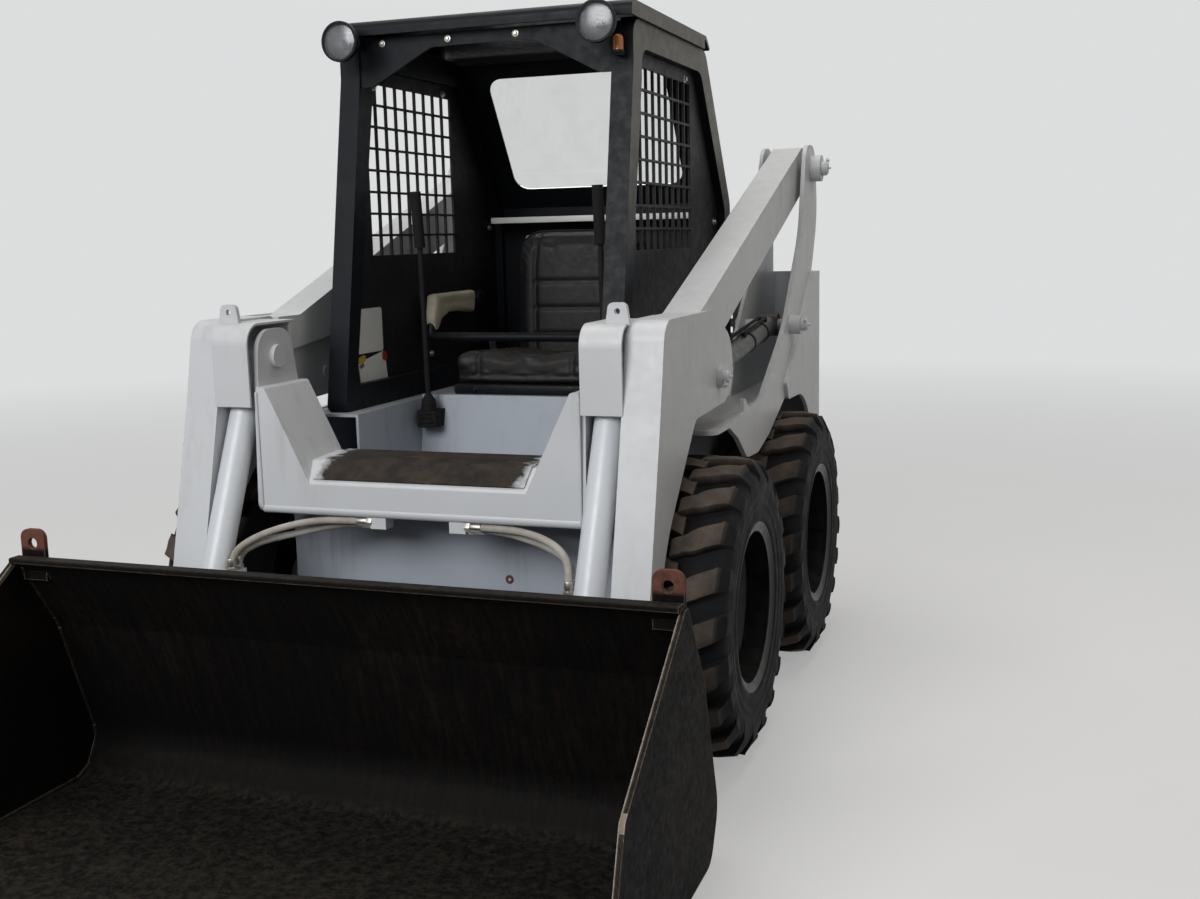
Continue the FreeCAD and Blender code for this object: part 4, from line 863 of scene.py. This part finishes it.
def sewn(pad, depth, width, distance):
    """Presses a seam into the pad: distance(co) is how far a point lies from it."""
    normals = [v.normal.copy() for v in pad.data.vertices]
    for v, normal in zip(pad.data.vertices, normals):
        near = distance(v.co) / width
        if near < 3.0:
            v.co -= normal * depth * math.exp(-near * near)


def finish_pad(pad, finish, body):
    bm = bmesh.new()
    bm.from_mesh(pad.data)
    bmesh.ops.smooth_vert(bm, verts=bm.verts, factor=0.5, use_axis_x=True, use_axis_y=True, use_axis_z=True)
    for face in bm.faces:
        face.smooth = True
    bm.to_mesh(pad.data)
    bm.free()
    pad.data.materials.append(finish.material)
    rounder = pad.modifiers.new("rounder", "SUBSURF")
    rounder.levels = rounder.render_levels = 1
    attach(pad, body)


# %% [markdown]
# ## The operator's seat
# The seat is a deep vinyl cushion on a pressed pan, with raised sides that hold the thighs
# and a tall back with round shoulders. The seams run parallel to the sides and across the
# front. The back leans away from the operator, so it is made upright and then sheared.

# %% Cushion and pan
CUSHION_LOW, CUSHION_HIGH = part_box("seat_cushion")
PAN_TOP = CUSHION_LOW.z + 0.026
BOLSTER_X = 0.150
FRONT_SEAM_Y = CUSHION_LOW.y + 0.085


def cushion_form():
    bm = bmesh.new()
    add_box(bm, (CUSHION_LOW.x + 0.008, CUSHION_LOW.y + 0.008, PAN_TOP),
            (CUSHION_HIGH.x - 0.008, CUSHION_HIGH.y - 0.006, CUSHION_HIGH.z - 0.016))
    bmesh.ops.subdivide_edges(bm, edges=bm.edges, cuts=7, use_grid_fill=True)
    for v in bm.verts:
        if v.co.z > PAN_TOP + 0.05:
            back = (v.co.y - CUSHION_LOW.y) / (CUSHION_HIGH.y - CUSHION_LOW.y)
            v.co.z -= 0.024 * back
            v.co.z -= 0.016 * math.cos(min(1.0, abs(v.co.x) / BOLSTER_X) * math.pi / 2) ** 2
        if v.co.y < CUSHION_LOW.y + 0.05:
            v.co.y += 0.022 * max(0.0, (PAN_TOP + 0.04 - v.co.z) / 0.04)
    bevelled(bm, sharp_edges(bm.edges, 60), 0.018, 3)
    return bm


cushion = inflated("seat_cushion_pad", cushion_form(), 0.012, lambda co: co.z < PAN_TOP + 0.012)
sewn(cushion, 0.007, 0.007, lambda co: abs(abs(co.x) - BOLSTER_X) if co.z > PAN_TOP + 0.03 else FAR)
sewn(cushion, 0.006, 0.007,
     lambda co: abs(co.y - FRONT_SEAM_Y) if abs(co.x) < BOLSTER_X and co.z > PAN_TOP + 0.05 else FAR)
sewn(cushion, 0.004, 0.005, lambda co: abs(co.z - PAN_TOP - 0.030))
finish_pad(cushion, VINYL, "chassis")
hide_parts("seat_cushion")

bm = bmesh.new()
add_box(bm, (CUSHION_LOW.x + 0.004, CUSHION_LOW.y + 0.012, CUSHION_LOW.z),
        (CUSHION_HIGH.x - 0.004, CUSHION_HIGH.y - 0.004, PAN_TOP + 0.004), 0.006)
for x in (-0.16, 0.16):
    add_bolt(bm, (x, CUSHION_LOW.y + 0.012, CUSHION_LOW.z + 0.014), FACING, 0.014)
add_piece("seat_pan", bm, CAB_BLACK)
print("cushion vertices", len(cushion.data.vertices))

# %% Backrest and shell
BACK_LOW, BACK_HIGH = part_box("seat_back")
BACK_LEAN = 0.025 / (BACK_HIGH.z - BACK_LOW.z)
BACK_BOLSTER_X = 0.140
SHOULDER = 0.085
SHOULDERS_ABOVE = 1.2
BACK_SEAMS_Z = (1.03, 1.115, 1.20)


def leaning_slab(margin, front, behind, foot, head, steps, rim, rim_steps):
    """Slab with round shoulders and soft rims, made upright and sheared to the back's lean."""
    bm = bmesh.new()
    add_box(bm, (BACK_LOW.x + margin, BACK_LOW.y + front, BACK_LOW.z + foot),
            (BACK_HIGH.x - margin, BACK_LOW.y + behind, BACK_HIGH.z - head))
    shoulders = [e for e in bm.edges
                 if abs(e.verts[0].co.y - e.verts[1].co.y) > 0.01 and e.verts[0].co.z > SHOULDERS_ABOVE]
    bevelled(bm, shoulders, SHOULDER, steps)
    bevelled(bm, sharp_edges(bm.edges, 60), rim, rim_steps)
    for v in bm.verts:
        v.co.y += BACK_LEAN * (v.co.z - BACK_LOW.z)
    return bm


def leaned(co):
    """How far a point stands in front of the back's own rear face."""
    return co.y - BACK_LEAN * (co.z - BACK_LOW.z) - BACK_LOW.y


foam = leaning_slab(0.010, 0.008, 0.066, 0.012, 0.010, 6, 0.016, 3)
backrest = inflated("seat_back_pad", foam, 0.010, lambda co: leaned(co) > 0.055)
sewn(backrest, 0.008, 0.007, lambda co: abs(abs(co.x) - BACK_BOLSTER_X + 0.10 * max(0.0, co.z - 1.25))
     if leaned(co) < 0.04 else FAR)
for seam_z in BACK_SEAMS_Z:
    sewn(backrest, 0.006, 0.006,
         lambda co: abs(co.z - seam_z) if abs(co.x) < BACK_BOLSTER_X and leaned(co) < 0.04 else FAR)
finish_pad(backrest, VINYL, "chassis")
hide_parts("seat_back")

add_piece("seat_back_shell", leaning_slab(0.004, 0.062, 0.086, 0.0, 0.004, 8, 0.005, 2), BOOT)
print("backrest vertices", len(backrest.data.vertices))

# %% [markdown]
# ## The lap bar
# A bent steel tube comes down over the operator's lap. Each arm carries a cream foam rest
# with a hard skin, thick over the elbow and turned down in front. The tube is swept along a
# curve of its own, and the rests are swollen a little so that their skins look tight.

# %% Bar tube
BAR_LOW, BAR_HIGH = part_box("seat_bar")
BAR_RADIUS = 0.014
BAR_X = 0.345
BAR_PIVOT = (0.790, 1.150)
BAR_KNEE = (0.470, 1.145)
BAR_LAP = (0.445, 1.046)
BAR_LINE = [(BAR_X, *BAR_PIVOT), (BAR_X, 0.60, 1.147), (BAR_X, 0.50, 1.1455), (BAR_X, *BAR_KNEE),
            (BAR_X, 0.462, 1.115), (BAR_X, 0.452, 1.075), (BAR_X, *BAR_LAP), (BAR_X - 0.03, *BAR_LAP),
            (BAR_X - 0.08, *BAR_LAP)]
bm = bmesh.new()
whole_line = BAR_LINE + [(-x, y, z) for x, y, z in reversed(BAR_LINE)]
bm.from_mesh(smooth_tube("bar_line", whole_line, BAR_RADIUS, along=10, around=6)[0])
for side in BOTH:
    add_rod(bm, (side * (BAR_X - 0.008), *BAR_PIVOT), (side * (BAR_HIGH.x - 0.0005), *BAR_PIVOT), 0.020,
            28, 0.002)
    add_rod(bm, (side * (BAR_X - 0.020), *BAR_PIVOT), (side * (BAR_X - 0.006), *BAR_PIVOT), 0.026, 28, 0.003)
bar = add_piece("lap_bar_tube", bm, CAB_BLACK, "seat_bar")
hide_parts("seat_bar")

# %% Arm rests
REST_OUTLINE = ((0.444, 1.064), (0.436, 1.100), (0.462, 1.180), (0.752, 1.182), (0.757, 1.152), (0.744, 1.108),
                (0.560, 1.112), (0.496, 1.092), (0.470, 1.064))
REST_HALF = 0.0165


def rest_form(x):
    bm = bmesh.new()
    face = bm.faces.new([bm.verts.new((x - REST_HALF, y, z)) for y, z in REST_OUTLINE])
    pushed = bmesh.ops.extrude_face_region(bm, geom=[face])
    bmesh.ops.translate(bm, vec=(2 * REST_HALF, 0, 0), verts=points_of(pushed))
    bevelled(bm, sharp_edges(bm.edges, 25), 0.007, 3)
    return bm


for side_name, side in SIDES:
    rest = inflated(f"arm_rest_{side_name}", rest_form(side * BAR_X), 0.004, lambda co: False)
    sewn(rest, 0.0025, 0.004, lambda co: abs(co.z - 1.146) if co.y > 0.50 else FAR)
    finish_pad(rest, PAD, "seat_bar")
print("arm rest vertices", len(rest.data.vertices))

# %% [markdown]
# ## Work lamps
# Two round lamps hang in front of the cab's header. A lamp is a pressed bowl, a bright
# reflector, a bulb and a crowned lens under a rolled bezel. All of them are turned on a
# lathe: one half outline, spun once about the lamp's axis.

# %% Lamp parts
LAMP_LOW, LAMP_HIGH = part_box("work_lamps")
LAMP_X = 0.368
LAMP_R = 0.054
LAMP_Z = LAMP_HIGH.z - LAMP_R
LAMP_FACE = LAMP_LOW.y
BOWL = ((0.0, 0.0535), (0.0, 0.0500), (0.012, 0.0485), (0.040, 0.036), (0.056, 0.022), (0.060, 0.0),
        (0.064, 0.0), (0.061, 0.026), (0.044, 0.040), (0.014, 0.0525), (0.010, 0.0535))
BEZEL = ((-0.0005, 0.0470), (-0.0005, 0.0520), (0.002, 0.0538), (0.012, 0.0538), (0.012, 0.0505),
         (0.003, 0.0480))
MIRROR = ((0.006, 0.0478), (0.018, 0.0445), (0.036, 0.033), (0.050, 0.014), (0.053, 0.0), (0.0545, 0.0),
          (0.0515, 0.015), (0.037, 0.0345), (0.018, 0.0460), (0.006, 0.0490))
GLASS = ((0.0035, 0.0), (0.0040, 0.020), (0.0060, 0.038), (0.0085, 0.0478), (0.0110, 0.0478),
         (0.0085, 0.038), (0.0065, 0.020), (0.0060, 0.0))
BULB = ((0.0, 0.0), (0.0, 0.006), (0.012, 0.0065), (0.018, 0.008), (0.024, 0.006), (0.027, 0.0))


def lamp_set(outline):
    """One outline, given as (behind the lens, radius), turned for both lamps."""
    bm = bmesh.new()
    for side in BOTH:
        spun(bm, [(-behind, radius) for behind, radius in outline],
             (side * LAMP_X, LAMP_FACE, LAMP_Z), FACING, 56)
    return bm


bm = lamp_set(BOWL)
for side in BOTH:
    at = Vector((side * LAMP_X, 0, LAMP_Z))
    add_box(bm, at + Vector((-0.012, 0.060, -0.012)), at + Vector((0.012, LAMP_HIGH.y, 0.012)), 0.003)
    add_rod(bm, at + Vector((-0.020, 0.090, 0)), at + Vector((0.020, 0.090, 0)), 0.008, 16, 0.001)
    spun(bm, [(-behind, radius) for behind, radius in BEZEL], (side * LAMP_X, LAMP_FACE, LAMP_Z), FACING, 56)
lamp_bodies = add_piece("lamp_bodies", bm, CAB_BLACK)
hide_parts("work_lamps")
add_piece("lamp_mirrors", lamp_set(MIRROR), REFLECTOR)
add_piece("lamp_lenses", lamp_set(GLASS), LENS)
bm = bmesh.new()
for side in BOTH:
    spun(bm, BULB, (side * LAMP_X, LAMP_FACE + 0.050, LAMP_Z), FACING, 20)
add_piece("lamp_bulbs", bm, LENS)
print("lamps made", 2)

# %% Marker and tail lamps
MARKER_AT = Vector((0.402, 0.096, 1.808))
TAIL_X = 0.627
bm = bmesh.new()
spun(bm, [(0.002, 0.0), (0.002, 0.0135), (0.034, 0.0135), (0.040, 0.011), (0.0435, 0.005), (0.044, 0.0)],
     MARKER_AT, (0, 0, 1), 32)
marker = add_piece("marker_lens", bm, AMBER)
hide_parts("signal_lamps")
bm = bmesh.new()
spun(bm, [(-0.004, 0.0), (-0.004, 0.0155), (0.003, 0.0155), (0.004, 0.0140), (0.004, 0.0)],
     MARKER_AT, (0, 0, 1), 32)
add_box(bm, MARKER_AT + Vector((-0.010, -0.006, -0.009)), MARKER_AT + Vector((0.010, 0.0337, 0.001)), 0.001)
for side in BOTH:
    add_box(bm, (side * TAIL_X - 0.025, 1.4703, 0.980), (side * TAIL_X + 0.025, 1.4780, 1.100), 0.003)
add_piece("signal_bases", bm, CAB_BLACK)
bm = bmesh.new()
for side in BOTH:
    add_box(bm, (side * TAIL_X - 0.022, 1.4775, 0.984), (side * TAIL_X + 0.022, 1.4955, 1.096), 0.006)
add_piece("tail_lenses", bm, RED_LENS)
print("signal lamps made", 3)

# %% [markdown]
# ## Levers and their boots
# The operator steers with two upright levers. Each passes through a rubber bellows that
# keeps dirt out, and ends in a moulded grip. A bellows is a zigzag outline on the lathe; the
# grip is turned too, along the lever's own lean.

# %% Boots and grips
LEVER_X = 0.280
LEVER_FOOT = Vector((LEVER_X, 0.285, 0.790))
GRIP_FOOT = Vector((LEVER_X, 0.271, 1.320))
GRIP_TOP = Vector((LEVER_X, 0.255, 1.480))
bm = bmesh.new()
for side in BOTH:
    mirror = Vector((side, 1, 1))
    folds = [(0.0, 0.0), (0.0, 0.034), (0.006, 0.034)]
    for fold in range(6):
        rise = 0.010 + fold * 0.0125
        folds += [(rise, 0.0255 - fold * 0.0018), (rise + 0.006, 0.0325 - fold * 0.0022)]
    folds += [(0.088, 0.0150), (0.096, 0.0110), (0.096, 0.0)]
    spun(bm, folds, LEVER_FOOT * mirror, (0, 0, 1), 36)
    foot, top = GRIP_FOOT * mirror, GRIP_TOP * mirror
    long = (top - foot).length - 0.001
    swell = [(0.0, 0.0), (0.0, 0.0125), (0.006, 0.0150)]
    for groove in range(5):
        at = 0.022 + groove * 0.024
        swell += [(at - 0.008, 0.0158), (at, 0.0146), (at + 0.008, 0.0158)]
    swell += [(long - 0.014, 0.0160), (long - 0.005, 0.0135), (long, 0.0070), (long, 0.0)]
    spun(bm, swell, foot, top - foot, 28)
add_piece("lever_boots", bm, BOOT)
print("boots and grips made", 4)

# %% [markdown]
# ## Inside the cab
# The small things in the cab tell how big it is: blank notice plates on the right wall, a
# folded seat belt, a pale rail over the rear shelf and bolt heads round each screen. The
# plates stay bare, because a reusable part carries no wording.

# %% Plates, bolts and rail
INNER_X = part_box("cab_side_right")[1].x
LEANING = Matrix.Rotation(math.radians(9.0), 4, "X")
SCREEN_BOLTS = ((0.10, 0.99), (0.55, 0.985), (1.00, 0.99), (1.03, 1.38), (0.25, 1.78), (0.70, 1.80),
                (0.13, 1.30))


def add_plate(bm, low, high, turn=None):
    """Thin plate with round corners, flat against a wall."""
    verts = add_box(bm, low, high, turn=turn)
    bevelled(bm, (e for e in edges_at(verts) if e.calc_length() < 0.004), 0.010, 4)


bm = bmesh.new()
add_plate(bm, (INNER_X, 0.078, 1.022), (INNER_X + 0.0016, 0.235, 1.150))
add_plate(bm, (INNER_X, 0.092, 0.912), (INNER_X + 0.0016, 0.250, 1.010), LEANING)
add_plate(bm, (-0.290, 1.1000, 1.258), (-0.170, 1.1022, 1.352))
add_piece("blank_plates", bm, BLANK_PLATE)
bm = bmesh.new()
add_plate(bm, (INNER_X + 0.0010, 0.086, 0.996), (INNER_X + 0.0022, 0.128, 1.016), LEANING)
add_piece("yellow_flash", bm, YELLOW)
bm = bmesh.new()
add_plate(bm, (INNER_X + 0.0010, 0.226, 0.992), (INNER_X + 0.0022, 0.254, 1.020), LEANING)
add_piece("red_flash", bm, RED)

bm = bmesh.new()
for side in BOTH:
    for y, z in SCREEN_BOLTS:
        add_bolt(bm, (side * 0.4060, y, z), (side, 0, 0), 0.014)
        add_bolt(bm, (side * 0.3980, y, z), (-side, 0, 0), 0.014)
for x in (-0.30, -0.10, 0.10, 0.30):
    add_bolt(bm, (x, 0.136, 1.880), FACING, 0.012)
add_piece("cab_bolts", bm, ZINC)

bm = bmesh.new()
add_box(bm, (-0.355, 0.952, 1.392), (0.355, 0.962, 1.412), 0.002)
add_piece("shelf_rail", bm, BLANK_PLATE)
print("cab fittings made", 3)


# %% Seat belt
BELT_HALF = Vector((0, 0.0225, 0))
BELT_THICK = 0.0016
BELT = ((0.247, 0.770, 0.905), (0.249, 0.745, 0.960), (0.246, 0.715, 1.005), (0.225, 0.690, 1.026),
        (0.195, 0.660, 1.030), (0.170, 0.620, 1.029), (0.150, 0.585, 1.030))


def strap(name, places):
    """Flat webbing swept through a few places, then given its thickness."""
    bm = bmesh.new()
    first = Vector(places[0])
    edge = bm.edges.new([bm.verts.new(first - BELT_HALF), bm.verts.new(first + BELT_HALF)])
    for a, b in zip(places, places[1:]):
        made = bmesh.ops.extrude_edge_only(bm, edges=[edge])
        moved = points_of(made)
        bmesh.ops.translate(bm, vec=Vector(b) - Vector(a), verts=moved)
        edge = next(e for e in edges_at(moved) if all(v in moved for v in e.verts))
    bmesh.ops.recalc_face_normals(bm, faces=bm.faces)
    bmesh.ops.solidify(bm, geom=bm.faces, thickness=BELT_THICK)
    add_piece(name, bm, STRAP)


strap("belt_left", BELT)
strap("belt_right", [(-x, y - 0.03, z) for x, y, z in BELT[:5]])
bm = bmesh.new()
add_box(bm, (0.118, 0.556, 1.027), (0.152, 0.614, 1.041), 0.003)
add_box(bm, (0.100, 0.566, 1.030), (0.122, 0.604, 1.036), 0.001)
add_piece("belt_buckle", bm, BOOT)
print("belt made")

# %% [markdown]
# ## Pins, keepers and grease
# Every joint of the arms turns on a steel pin. From outside a pin shows as a domed end in its
# boss, held by one bolt at its rim, with a grease fitting in the middle. They are small, but
# they tell the eye that the arms really move, so each one is placed on its axis.

# %% Pin ends
FITTING = ((0.006, 0.0), (0.006, 0.0042), (0.011, 0.0042), (0.013, 0.0026), (0.0155, 0.0032), (0.017, 0.0))
ARM_PINS = (("pivot", 0.716, 1.375, 1.555, 0.022, -0.6, "chassis"),
            ("lift_base", 0.716, 1.010, 1.045, 0.0165, 0.9, "chassis"),
            ("knee", 0.667, 0.160, 0.965, 0.0165, 2.4, "lift_arm"),
            ("foot", 0.672, -0.475, 0.187, 0.019, 2.6, "bucket"))


def add_pin_end(bm, at, axis, radius, keeper_turn):
    """Domed pin end with its grease fitting and the bolt that keeps it."""
    at, axis = Vector(at), Vector(axis).normalized()
    dome = [(-0.004, 0.0), (-0.004, radius), (0.003, radius), (0.006, radius * 0.86),
            (0.0075, radius * 0.45), (0.0078, 0.0)]
    spun(bm, dome, at, axis, 36)
    spun(bm, FITTING, at, axis, 16)
    out = Matrix.Rotation(keeper_turn, 3, axis) @ Vector((0, 0, 1))
    add_bolt(bm, at + out * (radius + 0.010) - axis * 0.002, axis, 0.013)


for label, x, y, z, radius, turn, body in ARM_PINS:
    bm = bmesh.new()
    for side_name, side in SIDES:
        add_pin_end(bm, (side * x, y, z), (side, 0, 0), radius, turn * side)
    add_piece(f"pin_ends_{label}", bm, ZINC if body == "bucket" else CYLINDER_WHITE, body)
print("pin ends", len(ARM_PINS) * 2)

# %% [markdown]
# ## Weld beads
# The arms, the crossmember and the bucket are welded plate. A bead is a low ridge of
# overlapping ripples, painted over with the rest. It is turned on the lathe as a rippled
# line, laid in the corner between two plates and sunk half its height.

# %% Bead
RIPPLE = 0.0075


def add_weld(bm, start, end, radius):
    start, end = Vector(start), Vector(end)
    long = (end - start).length
    count = max(2, int(long / RIPPLE))
    line = [(0.0, 0.0)]
    for i in range(count):
        line += [((i + 0.15) * long / count, radius * 0.78), ((i + 0.6) * long / count, radius)]
    line += [(long, radius * 0.7), (long, 0.0)]
    spun(bm, line, start, end - start, 8)


def weld_along(bm, points, radius):
    for a, b in zip(points, points[1:]):
        add_weld(bm, a, b, radius)


END_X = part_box("crossmember")[1].x - 0.0005
KNEE_LINE = ((0.551, -0.352, 0.955), (0.551, -0.336, 1.085), (0.551, -0.322, 1.120))
bm = bmesh.new()
for side_name, side in SIDES:
    weld_along(bm, [(side * END_X, -0.3635, 0.665), (side * END_X, -0.3635, 0.965)], 0.0045)
    weld_along(bm, [(side * x, y, z) for x, y, z in KNEE_LINE], 0.0038)
add_piece("arm_welds", bm, WHITE, "lift_arm")

# %% [markdown]
# ## Bucket details
# The bucket is one rolled sheet between two side plates. Long welds join them, the side
# plates carry a harder wear strip along their front edges, and the floor ends in a bolted
# cutting edge. The strips are the brightest steel on the machine, because gravel polishes
# them every day.

# %% Wear strips and welds
SIDE_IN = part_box("bucket")[1].x - 0.010
FRONT_LINE = ((-1.437, 0.026), (-1.290, 0.170), (-1.225, 0.345), (-0.845, 0.605))
SHEET_LINE = ((-1.300, 0.014), (-0.690, 0.014), (-0.636, 0.040), (-0.612, 0.080), (-0.617, 0.130),
              (-0.708, 0.415), (-0.722, 0.445), (-0.812, 0.592))
STRIP_WIDE, STRIP_THICK = 0.016, 0.0118
bm = bmesh.new()
for side in BOTH:
    weld_along(bm, [(side * (SIDE_IN - 0.002), y, z) for y, z in SHEET_LINE], 0.0055)
add_piece("bucket_welds", bm, BUCKET, "bucket")


def edge_strip(side):
    """Flat strip that follows the side plate's front edge."""
    bm = bmesh.new()
    lines = []
    for line in (FRONT_LINE, [(y + STRIP_WIDE * 1.05, z - STRIP_WIDE * 0.1) for y, z in FRONT_LINE]):
        places = [bm.verts.new((side * (SIDE_IN - 0.0022), y, z)) for y, z in line]
        lines += [bm.edges.new(pair) for pair in zip(places, places[1:])]
    bmesh.ops.bridge_loops(bm, edges=lines)
    raised = bmesh.ops.extrude_face_region(bm, geom=bm.faces[:])
    bmesh.ops.translate(bm, vec=(side * STRIP_THICK, 0, 0), verts=points_of(raised))
    return bm


for side_name, side in SIDES:
    add_piece(f"side_wear_strip_{side_name}", edge_strip(side), EDGE, "bucket")
bm = bmesh.new()
for i in range(7):
    x = -0.72 + i * 0.24
    add_rod(bm, (x, -1.340, 0.0226), (x, -1.340, 0.0262), 0.014, 20, 0.0012)
add_piece("edge_bolts", bm, EDGE, "bucket")
print("bucket details made", 4)

# %% [markdown]
# ## Covers and latches
# At the rear a slotted gate swings on two hinges and is held shut by a recessed latch; a row
# of bolts runs along its head and its foot. The chassis front has a rusted hole and four bolts.

# %% Rear hardware
GATE_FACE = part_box("tailgate")[1].y
bm = bmesh.new()
add_box(bm, (0.430, GATE_FACE - 0.0042, 0.740), (0.540, GATE_FACE - 0.0002, 0.860), 0.0015)
add_rod(bm, (0.452, GATE_FACE - 0.0034, 0.764), (0.452, GATE_FACE - 0.0012, 0.836), 0.0022, 12)
add_piece("gate_latch", bm, CAB_BLACK, "tailgate")
bm = bmesh.new()
for z in (0.452, 1.150):
    for x in (-0.52, -0.26, 0.0, 0.26, 0.52):
        add_rod(bm, (x, GATE_FACE - 0.004, z), (x, GATE_FACE - 0.0006, z), 0.009, 6, 0.0008)
add_piece("gate_bolts", bm, ZINC, "tailgate")

# %% Chassis front
bm = bmesh.new()
spun(bm, [(0.0, 0.0042), (0.0, 0.0120), (0.0012, 0.0105), (0.0018, 0.0050)], (0.160, -0.1600, 0.460),
     FACING, 24)
add_piece("rusted_hole_rim", bm, RUSTED)
bm = bmesh.new()
for x in (-0.42, -0.14, 0.14, 0.42):
    add_bolt(bm, (x, -0.160, 0.232), FACING, 0.020)
# The front bolts take the frame paint, which is white paint with painted shade.
add_piece("front_bolts", bm, PAINTED_SHADE_WHITE)
print("covers and front done")

# %% [markdown]
# ## Small lines that tie the machine together
# Thin steel pipes feed the lift cylinders, a rubber seal closes the gap under the roof, and
# a plate with four bolts covers the front of the footwell. Each is small, but without them
# the joints between the large forms look empty.

# %% Pipes on the lift cylinders
LIFT_X = 0.5975
LIFT_BASE = Vector((0.0, 1.010, 1.045))
LIFT_EYE = Vector((0.0, 0.160, 0.965))
AHEAD = (LIFT_EYE - LIFT_BASE).normalized()
ABOVE = Vector((0.0, AHEAD.z, -AHEAD.y))
for side_name, side in SIDES:
    bm = bmesh.new()
    for inboard, start, stop in ((0.014, 0.085, 0.52), (-0.008, 0.105, 0.40)):
        line = Vector((side * (LIFT_X - inboard), 0, 0)) + LIFT_BASE + ABOVE * 0.0385
        add_rod(bm, line + AHEAD * start, line + AHEAD * stop, 0.0052, 14, 0.001)
        for along in (start + 0.004, stop - 0.004):
            add_rod(bm, line + AHEAD * along, line + AHEAD * along - ABOVE * 0.012, 0.0075, 6, 0.0008)
    for along in (0.16, 0.34):
        middle = Vector((side * LIFT_X, 0, 0)) + LIFT_BASE + AHEAD * along
        spun(bm, [(-0.007, 0.0298), (-0.007, 0.0322), (0.007, 0.0322), (0.007, 0.0298)], middle, AHEAD, 40)
    add_piece(f"lift_pipes_{side_name}", bm, BOOT, f"lift_barrel_{side_name}")
print("lift pipes", 4)

# %% Roof seal and footwell plate
bm = bmesh.new()
add_box(bm, (-0.371, 0.806, 1.871), (0.371, 0.829, 1.8985), 0.004)
add_piece("roof_seal", bm, BOOT)
bm = bmesh.new()
verts = add_box(bm, (0.195, -0.1522, 0.425), (0.452, -0.1496, 0.588))
bevelled(bm, (e for e in edges_at(verts) if abs((e.verts[0].co - e.verts[1].co).y) > 0.001), 0.014, 5)
for x in (0.212, 0.435):
    for z in (0.445, 0.570):
        add_bolt(bm, (x, -0.1522, z), FACING, 0.011)
# The footwell plate takes the frame paint, which is white paint with painted shade.
add_piece("footwell_plate", bm, PAINTED_SHADE_WHITE)
print("seal and plate", 2)

# %% [markdown]
# ## Floor, light and world
# The picture was taken indoors under soft ceiling light with the camera's own flash. A large
# pale floor and two broad lamps, one high in front and one high on the machine's left, give
# the same plain shape without burning out the white paint. The backdrop is pale only to the
# eye: light path nodes keep that brightness off the machine.

# %% Floor
FLOOR_HALF = 30.0
PALE = (0.72, 0.725, 0.73)
SOFT_LIGHT = 0.26
bm = bmesh.new()
bmesh.ops.create_grid(bm, x_segments=2, y_segments=2, size=FLOOR_HALF)
floor_mesh = bpy.data.meshes.new("floor")
bm.to_mesh(floor_mesh)
bm.free()
floor = shown("floor", floor_mesh)
f = Finish("floor_screed")
seen = f.in_view()
pale_screed = f.colours(f.spread(f.noise(0.8, 5.0), 0.35, 0.70), (0.80, 0.79, 0.775), (0.75, 0.74, 0.725))
f.set(Base_Color=f.colours(seen, (0.20, 0.19, 0.18), pale_screed), Roughness=0.9, Specular_IOR_Level=0.1)
away = f.node("VectorMath", operation="LENGTH")
f.link(f.place, away.inputs[0])
haze = f.product(seen, f.spread(away.outputs["Value"], 1.5, 11.0, 0.45, 1.0))
f.blend(haze, f.surface.outputs["BSDF"], f.light("Emission", PALE, 1.0), f.output)
floor_mesh.materials.append(f.material)
print("floor", FLOOR_HALF * 2, "m square")

# %% World
world = bpy.data.worlds.new("studio")
bpy.context.scene.world = world
sky = Tree(world)
soft = sky.light("Background", (0.92, 0.92, 0.90), SOFT_LIGHT)
sky.blend(sky.in_view(), soft, sky.light("Background", PALE, 1.0), sky.node("OutputWorld").inputs["Surface"])
print("world", SOFT_LIGHT)


# %% Lamps
def soft_lamp(name, at, target, size, power, colour):
    lamp = bpy.data.lights.new(name, "AREA")
    lamp.shape = "RECTANGLE"
    lamp.size, lamp.size_y = size
    lamp.energy = power
    lamp.color = colour
    stand = shown(name, lamp)
    stand.location = at
    stand.rotation_euler = (Vector(target) - Vector(at)).to_track_quat("-Z", "Y").to_euler()


soft_lamp("front_softbox", (-0.9, -5.4, 3.6), (0, -0.2, 0.8), (3.2, 2.4), 225.0, (0.98, 0.99, 1.0))
soft_lamp("left_softbox", (5.0, -0.6, 4.6), (0, 0.4, 0.8), (3.0, 3.0), 34.0, (1.0, 0.90, 0.77))
soft_lamp("ceiling", (0.0, 1.2, 5.5), (0, 0.3, 0.5), (4.0, 4.0), 110.0, (1.0, 0.98, 0.95))
bpy.context.scene.view_settings.view_transform = "Standard"
print("lamps", 3)
